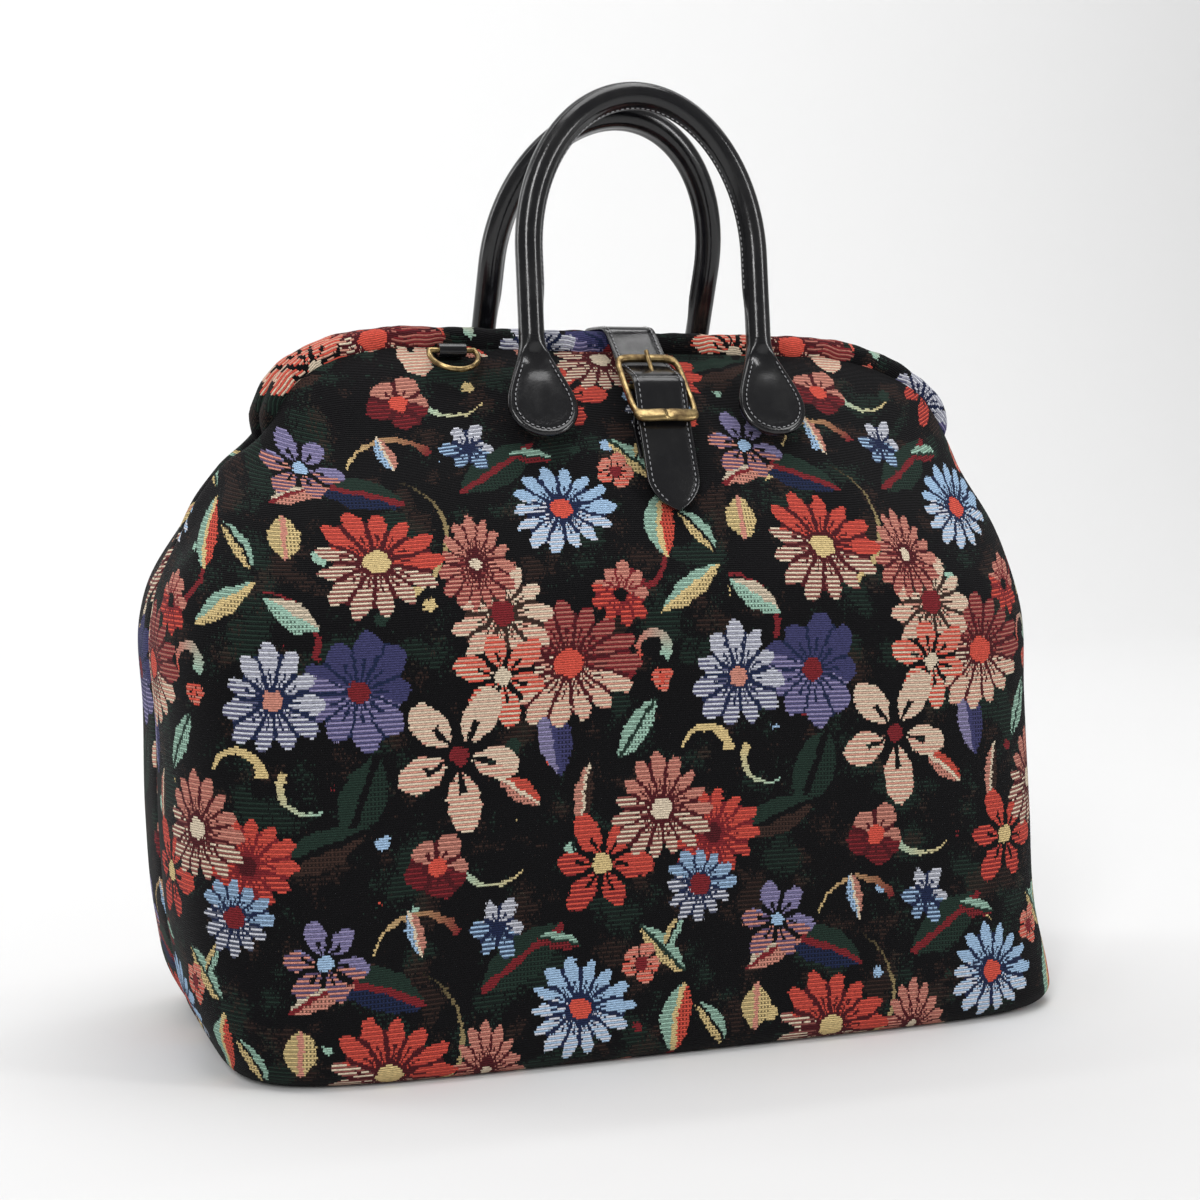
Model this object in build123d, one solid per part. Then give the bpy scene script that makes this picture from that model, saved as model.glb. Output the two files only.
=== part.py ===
from build123d import *
import math
import os

# A carpet bag: a full, soft tapestry body on a stiff base, a hinged steel mouth frame sewn into
# fabric rolls, two rolled leather handles, a buckled closing strap and two D-rings.
# Millimetres. X runs along the bag, -Y is the front, Z is up, and the origin is on the floor
# under the middle of the base.

# ---- Driving dimensions: cloth body ----
base_width = 470.0
base_depth = 234.0
base_edge = 12.0            # rounding of the bottom edge
waist_z = 60.0
waist_width = 476.0
waist_depth = 230.0
belly_z = 225.0
belly_width = 500.0
belly_depth = 228.0
shoulder_z = 270.0
shoulder_width = 484.0
shoulder_depth = 206.0
neck_z = 298.0
neck_width = 454.0
neck_depth = 178.0
cloth_thickness = 2.0
lining_thickness = 0.6
lining_gap = 0.4
board_thickness = 2.5
board_margin = 5.0

# ---- Mouth frame ----
hinge_z = 314.0
hinge_span = 400.0          # between the front frame's legs, centre to centre
frame_top_z = 380.0         # middle of the top bars
frame_corner = 85.0         # reach of each rounded corner along the top
frame_corner_rise = 48.0    # and up the leg
strip_thickness = 2.0
strip_width = 10.0
frame_offset = 9.0          # middle of each frame half from the bag's middle plane
roll_height = 14.0
roll_depth = 15.0
roll_edge = 5.5
roll_end_rise = 15.0        # where the fabric roll ends, above the hinge
lug_radius = 7.0
lug_gap = 0.2
rivet_radius = 2.5
rivet_clearance = 0.05
rivet_head_radius = 4.5
rivet_head_thickness = 1.2
fold_width = 430.0          # cloth section at hinge height
fold_depth = 152.0

# ---- Handles ----
handle_spacing = 133.0
handle_radius = 7.0
core_radius = 4.4
cover_bore = 4.5
neck_stand = 46.0           # neck of each handle from the middle plane
neck_height = 383.0
handle_rise = 134.0
handle_arch = 88.0
front_lean = 7.3
back_lean = 21.5
tab_width = 39.0
tab_length = 60.0
tab_thickness = 4.0
tab_slope = 31.0
tab_neck_gap = 1.0
tab_neck_radius = 7.5

# ---- Closing strap and buckle ----
strap_width = 30.0
strap_thickness = 2.6
strap_point = 19.0
buckle_z = 356.0
buckle_past_roll = 4.6        # how far the buckle stands past the roll's half-height
buckle_stand = roll_height / 2 + buckle_past_roll
buckle_slope = 46.0
buckle_length = 45.0
buckle_bar = 2.0
buckle_side_gap = 1.0       # between the strap's edge and the side bars
centre_bar_radius = 1.5
prong_radius = 1.2
prong_hub_radius = 3.0
prong_slot = 4.4
chape_thickness = 2.0
chape_end_z = 318.0
strap_tip_z = 290.0
strap_hole_radius = 2.2
strap_hole_pitch = 25.0
anchor_end_z = 336.0
layer_gap = 0.4

# ---- D-rings ----
ring_x = 106.0
ring_bar_y = 28.0
ring_bar_z = 375.5
ring_width = 25.0
ring_drop = 18.0
ring_wire = 1.5
ring_tilt = 55.0            # of the ring's plane from hanging straight down
ring_tab_width = 15.0
ring_tab_wall = 2.0
pivot_clearance = 0.1

BODY = [
    (0.0, base_width - 2 * base_edge, base_depth - 2 * base_edge, 5.0),
    (0.3 * base_edge, base_width - 0.6 * base_edge, base_depth - 0.6 * base_edge, 5.0),
    (base_edge, base_width, base_depth, 5.0),
    (waist_z, waist_width, waist_depth, 4.6),
    (belly_z, belly_width, belly_depth, 3.8),
    (shoulder_z, shoulder_width, shoulder_depth, 3.0),
    (neck_z, neck_width, neck_depth, 2.5),
    (hinge_z, fold_width, fold_depth, 2.2),
]
roll_bottom_z = frame_top_z - roll_height / 2
slope_rise = roll_bottom_z - hinge_z
MOUTH = [
    (hinge_z, fold_width, fold_depth, 2.2),
    (hinge_z + 0.36 * slope_rise, fold_width, 0.88 * fold_depth, 2.2),
    (hinge_z + 0.65 * slope_rise, fold_width, 0.70 * fold_depth, 2.2),
    (hinge_z + 0.87 * slope_rise, fold_width, 0.46 * fold_depth, 2.3),
    (roll_bottom_z, fold_width, 2 * frame_offset + roll_depth, 2.5),
]


def superellipse_half(width, depth, fullness, z):
    """The front half of a full section: a face between its curved edge and the middle plane."""
    points = []
    count = 16
    for i in range(count + 1):
        turn = math.pi * i / count
        across = math.copysign(abs(math.cos(turn)) ** (2 / fullness), math.cos(turn))
        out = abs(math.sin(turn)) ** (2 / fullness) if 0 < i < count else 0.0
        points.append((width / 2 * across, -depth / 2 * out))
    edge = Spline(*points)
    return Location((0, 0, z)) * make_face([edge, Line(edge @ 1, edge @ 0)])


def section_at(stations, z):
    """Width, depth and fullness of the body at a height, straight between stations."""
    for low, high in zip(stations, stations[1:]):
        if low[0] <= z <= high[0]:
            share = (z - low[0]) / (high[0] - low[0])
            return [a + share * (b - a) for a, b in zip(low[1:], high[1:])]
    return list(stations[-1][1:])


def front_reach(z):
    """How far the cloth stands in front of the middle plane, at the bag's middle."""
    stations = BODY if z <= hinge_z else MOUTH
    return section_at(stations, z)[1] / 2


def front_half(stations, inset, floor):
    """Solid front half of the body, inset all round, from a height upward."""
    width, depth, fullness = section_at(stations, floor)
    rows = [(floor, width, depth, fullness)]
    rows += [row for row in stations if row[0] > floor + 0.5]
    faces = [superellipse_half(w - 2 * inset, d - 2 * inset, n, z) for z, w, d, n in rows]
    return loft(faces, ruled=True)


def front_skin(stations, inset, thickness, floor, bottom):
    """A skin of one thickness following the body, with a bottom where one is asked for."""
    outer = front_half(stations, inset, floor)
    inner = front_half(stations, inset + thickness, floor + (thickness if bottom else 0.0))
    return outer - inner


def mirrored(shape):
    """The same shape on the back of the bag."""
    return mirror(shape, about=Plane.XZ)


def save(name, shape):
    """Writes one node."""
    export_step(shape, f"parts/{name}.step")


# ---- Mouth frame pieces ----
def mouth_path(half_span, y, low=hinge_z + roll_end_rise):
    """The inverted U that a frame half follows, with quarter-ellipse corners."""
    side = half_span - frame_corner
    leg_top = frame_top_z - frame_corner_rise
    pieces = [
        Line((-half_span, low), (-half_span, leg_top)),
        EllipticalCenterArc((-side, leg_top), frame_corner, frame_corner_rise, start_angle=180, arc_size=-90),
        Line((-side, frame_top_z), (side, frame_top_z)),
        EllipticalCenterArc((side, leg_top), frame_corner, frame_corner_rise, start_angle=90, arc_size=-90),
        Line((half_span, leg_top), (half_span, low)),
    ]
    return Plane(origin=(0, y, 0), x_dir=(1, 0, 0), z_dir=(0, -1, 0)) * Wire(pieces)


def swept_bar(path, profile):
    """A section carried along a path, with the section's first side along Y."""
    start = Plane(origin=path @ 0, x_dir=(0, 1, 0), z_dir=path % 0)
    return sweep(start * profile, path=path)


def lug(x, y):
    """The eye at the foot of a frame leg, turned in from the frame's plane to the hinge."""
    eye = Location((0, hinge_z)) * Circle(lug_radius)
    foot = Location((y, hinge_z + roll_end_rise - 0.5)) * Rectangle(strip_width, 1.0)
    outline = make_hull(eye.edges() + foot.edges())
    bored = outline - Location((0, hinge_z)) * Circle(rivet_radius + rivet_clearance)
    plate = extrude(Plane.YZ.offset(x - strip_thickness / 2) * bored, strip_thickness)
    return plate


def frame_half(half_span, y):
    """One steel half of the mouth frame, with its two hinge eyes."""
    strip = swept_bar(mouth_path(half_span, y), Rectangle(strip_width, strip_thickness))
    return strip + lug(-half_span, y) + lug(half_span, y)


def roll_solid(half_span, y):
    """The outside of the fabric roll around a frame half."""
    profile = RectangleRounded(roll_depth, roll_height, roll_edge)
    return swept_bar(mouth_path(half_span, y), profile)


def fabric_roll(half_span, y):
    """The roll with the room that the steel strip fills."""
    strip = swept_bar(mouth_path(half_span, y), Rectangle(strip_width, strip_thickness))
    return roll_solid(half_span, y) - strip


def hinge_rivet(side):
    """A rivet through the front and back eyes, with a head at each end."""
    inner = hinge_span / 2 - strip_thickness / 2 - lug_gap / 2
    outer = inner + 2 * strip_thickness + 2 * lug_gap
    turned = Plane(origin=(0, 0, hinge_z), x_dir=(0, 1, 0), z_dir=(side, 0, 0))
    shank = extrude(turned.offset(inner) * Circle(rivet_radius), outer - inner)
    head_in = extrude(turned.offset(inner) * Circle(rivet_head_radius), -rivet_head_thickness)
    head_out = extrude(turned.offset(outer) * Circle(rivet_head_radius), rivet_head_thickness)
    return shank + head_in + head_out


def mouth_skin(inset, thickness):
    """Cloth between the hinge line and the roll, trimmed to the frame."""
    skin = front_skin(MOUTH, inset, thickness, hinge_z, False)
    half_span = hinge_span / 2
    edge = mouth_path(half_span, 0, hinge_z)
    window = make_face([*edge.edges(), Line(edge @ 1, edge @ 0)])
    prism = extrude(window, fold_depth, dir=(0, -1, 0))
    trimmed = (skin & prism) - roll_solid(half_span, -frame_offset)
    return trimmed.solids().sort_by(SortBy.VOLUME)[-1]


# ---- Handles ----
def handle_path(lean):
    """Two straight legs and a half ellipse, in a plane leaning back toward the middle."""
    half = handle_spacing / 2
    straight = handle_rise - handle_arch
    left = Line((-half, 0), (-half, straight))
    arch = EllipticalCenterArc((0, straight), half, handle_arch, start_angle=180, arc_size=-180)
    right = Line((half, straight), (half, 0))
    tilt = math.radians(lean)
    plane = Plane(origin=(0, -neck_stand, neck_height), x_dir=(1, 0, 0),
                  z_dir=(0, -math.cos(tilt), math.sin(tilt)))
    return plane * Wire([left, arch, right])


def handle_pieces(lean):
    """The rolled leather cover and the cord core inside it."""
    path = handle_path(lean)
    start = Plane(origin=path @ 0, z_dir=path % 0)
    cover = sweep(start * (Circle(handle_radius) - Circle(cover_bore)), path=path)
    core = sweep(start * Circle(core_radius), path=path)
    return cover, core


def handle_tab(side):
    """A teardrop ear of doubled leather, sloping down and out from the neck of the handle."""
    slope = math.radians(tab_slope)
    top = (side * handle_spacing / 2, -neck_stand, neck_height - tab_neck_radius - tab_neck_gap)
    plane = Plane(origin=top, x_dir=(1, 0, 0), z_dir=(0, -math.cos(slope), math.sin(slope)))
    small = Circle(tab_neck_radius)
    drop = tab_length - tab_neck_radius - tab_width / 2
    large = Location((0, -drop)) * Circle(tab_width / 2)
    outline = make_hull(small.edges() + large.edges())
    return extrude(plane * outline, tab_thickness / 2, both=True)


# ---- Buckle, in its own plane: s runs down the slope, n stands out of it ----
slope_angle = math.radians(buckle_slope)
DOWN = (0.0, -math.sin(slope_angle), -math.cos(slope_angle))
OUT = (0.0, -math.cos(slope_angle), math.sin(slope_angle))
buckle_y = -(front_reach(buckle_z) + buckle_stand)


def on_buckle(x, s, n):
    """A point by its place across, down and out of the buckle's plane."""
    return (x, buckle_y + s * DOWN[1] + n * OUT[1], buckle_z + s * DOWN[2] + n * OUT[2])


buckle_plane = Plane(origin=on_buckle(0, 0, 0), x_dir=(1, 0, 0), z_dir=OUT)


def cross_bar(radius, length, s, n=0.0):
    """A round bar across the buckle."""
    middle = Plane(origin=on_buckle(0, s, n), x_dir=(0, 1, 0), z_dir=(1, 0, 0))
    return extrude(middle * Circle(radius), length / 2, both=True)


def buckle_frame():
    """A rectangular frame with a middle bar that the short strap and the prong turn on."""
    inner_width = strap_width + 2 * buckle_side_gap
    outer = RectangleRounded(inner_width + 4 * buckle_bar, buckle_length + 2 * buckle_bar, 4 * buckle_bar)
    inner = RectangleRounded(inner_width, buckle_length - 2 * buckle_bar, 2 * buckle_bar)
    ring = extrude(buckle_plane * (outer - inner), buckle_bar, both=True)
    ring = fillet(ring.edges().filter_by(GeomType.LINE).filter_by(Axis.X), 0.4 * buckle_bar)
    return ring + cross_bar(centre_bar_radius, inner_width + 2 * buckle_bar, 0)


def buckle_prong():
    """A hub on the middle bar and a pin whose tip rests on the upper bar."""
    hub = cross_bar(prong_hub_radius, prong_slot - 1.0, 0)
    hub -= cross_bar(centre_bar_radius + pivot_clearance, prong_slot, 0)
    root = on_buckle(0, -prong_hub_radius + 0.8, 1.0)
    tip = on_buckle(0, -buckle_length / 2 - buckle_bar, buckle_bar + prong_radius + layer_gap)
    length = math.dist(root, tip)
    axis = [(b - a) / length for a, b in zip(root, tip)]
    pin = extrude(Plane(origin=root, z_dir=axis) * Circle(prong_radius), length)
    return hub + pin


def band(points, width, thickness, radius):
    """A flat strap along a route in the bag's middle plane."""
    path = FilletPolyline(*points, radius=radius)
    start = Plane(origin=path @ 0, x_dir=(1, 0, 0), z_dir=path % 0)
    return sweep(start * Rectangle(width, thickness), path=path)


loop_radius = centre_bar_radius + pivot_clearance + chape_thickness
under_bar = buckle_bar + strap_thickness / 2 + 4 * layer_gap
over_loop = loop_radius + strap_thickness / 2 + 3 * layer_gap
strap_stand = 2 * chape_thickness + 5 * layer_gap + strap_thickness / 2
roll_front_y = -(frame_offset + roll_depth / 2)
roll_top_z = frame_top_z + roll_height / 2
strap_top_z = roll_top_z + strap_thickness / 2 + layer_gap
strap_root_y = -roll_front_y + strap_thickness / 2 + layer_gap
strap_root_z = frame_top_z - roll_height / 4


def buckle_strap():
    """The short strap: a loop round the middle bar, slotted for the prong, and its sewn tail."""
    loop = cross_bar(loop_radius, strap_width, 0)
    start = on_buckle(0, loop_radius - chape_thickness, -loop_radius + chape_thickness)
    middle = on_buckle(0, buckle_length / 2, -under_bar - strap_thickness / 2 - layer_gap - chape_thickness)
    end = (0, -(front_reach(chape_end_z) + chape_thickness + layer_gap), chape_end_z)
    tail = band([start, middle, end], strap_width, 2 * chape_thickness, 3.0)
    slot = Box(prong_slot, 4 * loop_radius, 4 * loop_radius)
    slot = Location(on_buckle(0, 0, 0)) * slot
    bore = cross_bar(centre_bar_radius + pivot_clearance, strap_width, 0)
    return loop + tail - slot - bore


def closing_strap():
    """The long strap over both rolls, woven through the buckle, with a pointed end and holes."""
    half = buckle_length / 2
    tail_y = -(front_reach(strap_tip_z + strap_point) + strap_stand)
    route = [
        (0, strap_root_y, strap_root_z),
        (0, strap_root_y, strap_top_z),
        (0, roll_front_y, strap_top_z),
        on_buckle(0, -half, -under_bar),
        on_buckle(0, 0, over_loop),
        on_buckle(0, half, -under_bar),
        (0, tail_y, strap_tip_z + strap_point),
    ]
    strap = band(route, strap_width, strap_thickness, 4.5)
    last = Vector(*route[-1]) - Vector(*route[-2])
    end = Plane(origin=route[-1], x_dir=(1, 0, 0), z_dir=last.cross(Vector(1, 0, 0)))
    half_width = strap_width / 2
    outline = Polyline((-half_width, 0), (half_width, 0), (0, strap_point), close=True)
    away = end.to_local_coords(Vector(*route[-2])).Y
    flip = -1 if away > 0 else 1
    point = extrude(end * scale(make_face(outline), by=(1, flip, 1)), strap_thickness / 2, both=True)
    strap += point
    slot_middle = on_buckle(0, -0.36 * half, 0)
    turned = Plane(origin=slot_middle, x_dir=(1, 0, 0), z_dir=OUT)
    slot = extrude(turned * SlotOverall(0.72 * half, prong_slot, rotation=90), 4 * over_loop, both=True)
    strap -= slot
    for step in (1, 2):
        place = end.origin - last.normalized() * (strap_hole_pitch * (step - 1) + strap_point / 2)
        hole = Plane(origin=place, x_dir=(1, 0, 0), z_dir=end.z_dir)
        strap -= extrude(hole * Circle(strap_hole_radius), strap_thickness, both=True)
    return strap


def strap_anchor():
    """The sewn end of the long strap, from the back roll down the back of the bag."""
    off = strap_thickness + 2 * layer_gap
    places = [anchor_end_z, hinge_z + 0.65 * slope_rise, hinge_z + 0.87 * slope_rise]
    route = [(0, front_reach(z) + off, z) for z in places]
    route.append((0, strap_root_y + layer_gap, strap_root_z - strap_thickness))
    return band(route, strap_width, strap_thickness, 4.0)


# ---- D-rings ----
def ring_plane(x):
    """Plane of a ring at rest, hanging from its bar with its lower end held out."""
    tilt = math.radians(ring_tilt)
    return Plane(origin=(x, -ring_bar_y, ring_bar_z), x_dir=(1, 0, 0),
                 z_dir=(0, -math.cos(tilt), math.sin(tilt)))


def d_ring(x):
    """A straight bar and a bow, of one wire."""
    plane = ring_plane(x)
    half = ring_width / 2
    bow = plane * ThreePointArc((-half, 0), (0, -ring_drop), (half, 0))
    start = Plane(origin=bow @ 0, z_dir=bow % 0)
    wire = sweep(start * Circle(ring_wire), path=bow)
    across = Plane(origin=(x, -ring_bar_y, ring_bar_z), x_dir=(0, 1, 0), z_dir=(1, 0, 0))
    bar = extrude(across * Circle(ring_wire), half, both=True)
    ends = [Location((x + s * half, -ring_bar_y, ring_bar_z)) * Sphere(ring_wire) for s in (-1, 1)]
    return wire + bar + ends[0] + ends[1]


def ring_tab(x):
    """A leather loop round the ring's bar, with a tail sewn into the seam under the roll."""
    across = Plane(origin=(x, -ring_bar_y, ring_bar_z), x_dir=(0, 1, 0), z_dir=(1, 0, 0))
    outer_radius = ring_wire + pivot_clearance + ring_tab_wall
    loop = extrude(across * Circle(outer_radius), ring_tab_width / 2, both=True)
    tail_length = ring_bar_y + roll_front_y - layer_gap
    tail = Box(ring_tab_width, tail_length, 2 * ring_tab_wall)
    tail = Location((x, -ring_bar_y + tail_length / 2, ring_bar_z)) * tail
    bore = extrude(across * Circle(ring_wire + pivot_clearance), ring_tab_width, both=True)
    return loop + tail - bore


def build():
    """Builds every node and writes it."""
    os.makedirs("parts", exist_ok=True)
    lining_inset = cloth_thickness + lining_gap
    lining_floor = cloth_thickness + board_thickness + lining_gap
    front_panel = front_skin(BODY, 0.0, cloth_thickness, 0.0, True)
    lining = front_skin(BODY, lining_inset, lining_thickness, lining_floor, True)
    panel_top = mouth_skin(0.0, cloth_thickness)
    lining_top = mouth_skin(lining_inset, lining_thickness)
    save("front_panel", front_panel)
    save("back_panel", mirrored(front_panel))
    save("front_lining", lining)
    save("back_lining", mirrored(lining))
    save("front_panel_top", panel_top)
    save("back_panel_top", mirrored(panel_top))
    save("front_lining_top", lining_top)
    save("back_lining_top", mirrored(lining_top))

    width, depth, fullness = section_at(BODY, cloth_thickness)
    margin = 2 * board_margin
    half_board = superellipse_half(width - margin, depth - margin, fullness, cloth_thickness)
    board = extrude(half_board, board_thickness)
    save("base_board", board + mirrored(board))

    half_span = hinge_span / 2
    back_span = half_span + strip_thickness + lug_gap
    save("front_frame", frame_half(half_span, -frame_offset))
    save("back_frame", frame_half(back_span, frame_offset))
    save("front_roll", fabric_roll(half_span, -frame_offset))
    save("back_roll", fabric_roll(back_span, frame_offset))
    save("hinge_rivet_left", hinge_rivet(-1))
    save("hinge_rivet_right", hinge_rivet(1))

    cover, core = handle_pieces(front_lean)
    save("front_handle", cover)
    save("front_handle_core", core)
    cover, core = handle_pieces(back_lean)
    save("back_handle", mirrored(cover))
    save("back_handle_core", mirrored(core))
    for side, name in ((-1, "left"), (1, "right")):
        tab = handle_tab(side)
        save(f"front_handle_tab_{name}", tab)
        save(f"back_handle_tab_{name}", mirrored(tab))

    save("buckle_frame", buckle_frame())
    save("buckle_prong", buckle_prong())
    save("buckle_strap", buckle_strap())
    save("closing_strap", closing_strap())
    save("strap_anchor", strap_anchor())
    save("d_ring_left", d_ring(-ring_x))
    save("ring_tab_left", ring_tab(-ring_x))
    save("d_ring_right", mirrored(d_ring(ring_x)))
    save("ring_tab_right", mirrored(ring_tab(ring_x)))


build()
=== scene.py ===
"""A soft floral tapestry carpet bag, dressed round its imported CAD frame."""
import logging
import math
from dataclasses import dataclass, field
from enum import Enum
from typing import Sequence

import bmesh
import bpy
import numpy as np
from mathutils import Matrix, Vector


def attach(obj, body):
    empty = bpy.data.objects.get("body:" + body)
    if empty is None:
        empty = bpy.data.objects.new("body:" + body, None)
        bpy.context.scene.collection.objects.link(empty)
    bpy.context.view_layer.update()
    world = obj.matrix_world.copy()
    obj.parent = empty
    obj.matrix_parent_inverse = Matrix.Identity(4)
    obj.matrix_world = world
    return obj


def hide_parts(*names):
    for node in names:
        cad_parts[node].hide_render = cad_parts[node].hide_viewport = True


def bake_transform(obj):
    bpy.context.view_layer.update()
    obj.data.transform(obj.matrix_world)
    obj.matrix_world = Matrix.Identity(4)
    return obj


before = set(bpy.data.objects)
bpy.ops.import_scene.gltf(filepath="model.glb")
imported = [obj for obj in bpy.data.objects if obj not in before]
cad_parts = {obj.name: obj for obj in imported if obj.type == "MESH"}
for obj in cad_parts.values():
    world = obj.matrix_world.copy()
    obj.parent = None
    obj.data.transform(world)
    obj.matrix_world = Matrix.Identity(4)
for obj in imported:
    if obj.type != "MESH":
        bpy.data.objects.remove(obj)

LOG = logging.getLogger("carpet_bag")
MM = 0.001
Array = np.ndarray
Colour = tuple[float, float, float]
UV_NAME = "Cloth"
ACROSS = np.array([1.0, 0.0, 0.0])


class Side(Enum):
    """Front or back of the bag: the sign of the side's place along Y."""

    FRONT = -1.0
    BACK = 1.0

    @property
    def word(self) -> str:
        """The word that names this side's pieces and bodies."""
        return self.name.lower()


# ---------------------------------------------------------------- curves and grids
def smooth_table(keys: Sequence[float], values: Sequence[float], at: Array) -> Array:
    """Reads a table of values along a smooth line through its entries.

    Each span is a cubic Hermite arc whose end slopes are the table's own central differences.

    Args:
        keys: rising positions of the entries.
        values: the entries.
        at: positions to read.

    Returns:
        The values there, with the same shape as at.
    """
    k = np.asarray(keys, float)
    v = np.asarray(values, float)
    slope = np.gradient(v, k)
    at = np.clip(at, k[0], k[-1])
    i = np.clip(np.searchsorted(k, at, side="right") - 1, 0, len(k) - 2)
    h = k[i + 1] - k[i]
    t = (at - k[i]) / h
    return (
        (2 * t**3 - 3 * t**2 + 1) * v[i]
        + (t**3 - 2 * t**2 + t) * h * slope[i]
        + (3 * t**2 - 2 * t**3) * v[i + 1]
        + (t**3 - t**2) * h * slope[i + 1]
    )


def smooth_step(low: float, high: float, at: Array) -> Array:
    """Zero before low, one after high, and the cubic 3t^2 - 2t^3 between them."""
    t = np.clip((at - low) / (high - low), 0.0, 1.0)
    return t * t * (3 - 2 * t)


def bell(centre: float, width: float, at: Array) -> Array:
    """A bump of height one: exp(-((at - centre) / width)^2)."""
    return np.exp(-(((at - centre) / width) ** 2))


def signed_power(value: Array, power: float | Array) -> Array:
    """The value's size raised to a power, with its sign kept, as superellipses need."""
    return np.sign(value) * np.abs(value) ** power


def lengths_along(points: Array) -> Array:
    """Distance travelled along a line of points, starting at zero."""
    steps = np.linalg.norm(np.diff(points, axis=0), axis=1)
    return np.concatenate([[0.0], np.cumsum(steps)])


def resample(points: Array, count: int, share: Array | None = None) -> Array:
    """Places points evenly by length along a line, or at given shares of its length.

    Args:
        points: the line, n x 3.
        count: how many points to return.
        share: optional shares of the whole length, from 0 to 1.

    Returns:
        The new line, count x 3.
    """
    run = lengths_along(points)
    at = (np.linspace(0.0, 1.0, count) if share is None else share) * run[-1]
    return np.stack([np.interp(at, run, points[:, i]) for i in range(3)], axis=1)


def rounded_path(corners: Array, radius: float, step: float) -> Array:
    """A path of straight runs with its corners replaced by arcs.

    Each arc leaves its runs at radius * tan(half the turn) from the corner, and its points are
    centre + radius * (cos a, sin a) in the plane of the two runs. The path is then spaced evenly.

    Args:
        corners: the corner points, n x 3.
        radius: of each arc, less where a run is short.
        step: distance between the points returned.

    Returns:
        The path's points, m x 3.
    """
    pieces = [corners[:1]]
    for a, b, c in zip(corners, corners[1:], corners[2:]):
        into, out = b - a, c - b
        size_in, size_out = np.linalg.norm(into), np.linalg.norm(out)
        into, out = into / size_in, out / size_out
        turn = math.acos(float(np.clip(into @ out, -1, 1)))
        if turn < 1e-3:
            continue
        back = min(radius * math.tan(turn / 2), 0.49 * size_in, 0.49 * size_out)
        r = back / math.tan(turn / 2)
        start = b - into * back
        sideways = out - (out @ into) * into
        sideways = sideways / np.linalg.norm(sideways)
        angle = np.linspace(0.0, turn, 12)[:, None]
        pieces.append(start + r * np.sin(angle) * into + r * (1 - np.cos(angle)) * sideways)
    pieces.append(corners[-1:])
    line = np.concatenate(pieces)
    return resample(line, max(8, int(lengths_along(line)[-1] / step)))


def softened(points: Array, passes: int) -> Array:
    """Relaxes a path: each inner point becomes a quarter, a half and a quarter of its neighbours."""
    line = points.copy()
    for _ in range(passes):
        line[1:-1] = 0.25 * line[:-2] + 0.5 * line[1:-1] + 0.25 * line[2:]
    return line


@dataclass
class Patch:
    """One grid of a surface, in millimetres, with its flat-cloth coordinates."""

    points: Array
    flat: Array

    def quads(self, first: int) -> Array:
        """Corner numbers of the grid's cells, counted from first."""
        rows, cols = self.points.shape[:2]
        at = first + np.arange(rows * cols).reshape(rows, cols)
        return np.stack([at[:-1, :-1], at[:-1, 1:], at[1:, 1:], at[1:, :-1]], -1).reshape(-1, 4)

    def corner_flats(self) -> Array:
        """Flat coordinates of each cell's corners, in the same order as quads."""
        f = self.flat
        return np.stack([f[:-1, :-1], f[:-1, 1:], f[1:, 1:], f[1:, :-1]], 2).reshape(-1, 2)


def carried(path: Array, across: Array, outline: Array, closed_ends: bool = True) -> Patch:
    """A profile carried along a path that lies in one plane.

    A point is path + x * across + n * normal, where normal is the tangent turned a quarter round
    across, and (x, n) is the profile at that place on the path.

    Args:
        path: the path, rows x 3.
        across: the unit vector square to the path's plane, or one for each row.
        outline: profiles, rows x cols x 2, each closed on itself.
        closed_ends: whether the first and last profiles shrink to their middle points.

    Returns:
        The patch; its flat coordinates are the length along the path and round the profile.
    """
    tangent = np.gradient(path, axis=0)
    tangent /= np.linalg.norm(tangent, axis=1, keepdims=True)
    side = np.broadcast_to(across, path.shape)
    normal = np.cross(side, tangent)
    normal /= np.linalg.norm(normal, axis=1, keepdims=True)
    if closed_ends:
        ends = [outline[:1] * 0.0 + outline[:1].mean(1, keepdims=True)]
        ends.append(outline[-1:] * 0.0 + outline[-1:].mean(1, keepdims=True))
        outline = np.concatenate([ends[0], outline, ends[1]])
        path = np.concatenate([path[:1], path, path[-1:]])
        side = np.concatenate([side[:1], side, side[-1:]])
        normal = np.concatenate([normal[:1], normal, normal[-1:]])
    points = (
        path[:, None]
        + side[:, None] * outline[..., :1]
        + normal[:, None] * outline[..., 1:]
    )
    along = lengths_along(path)
    steps = np.linalg.norm(np.diff(outline, axis=1), axis=2)
    round_it = np.concatenate([np.zeros((len(path), 1)), np.cumsum(steps, axis=1)], axis=1)
    flat = np.stack([np.broadcast_to(along[:, None], round_it.shape), round_it], -1)
    return Patch(points, flat)


def oval(width: Array, height: Array, fullness: float | Array, cols: int) -> Array:
    """Closed superellipse profiles: half-width * cos^(2/n) and half-height * sin^(2/n)."""
    turn = np.linspace(0.0, 2 * math.pi, cols)[None]
    power = 2.0 / np.asarray(fullness, float)
    if power.ndim == 1:
        power = power[:, None]
    x = np.asarray(width, float)[:, None] * signed_power(np.cos(turn), power)
    n = np.asarray(height, float)[:, None] * signed_power(np.sin(turn), power)
    return np.stack([x, n], -1)


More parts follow.
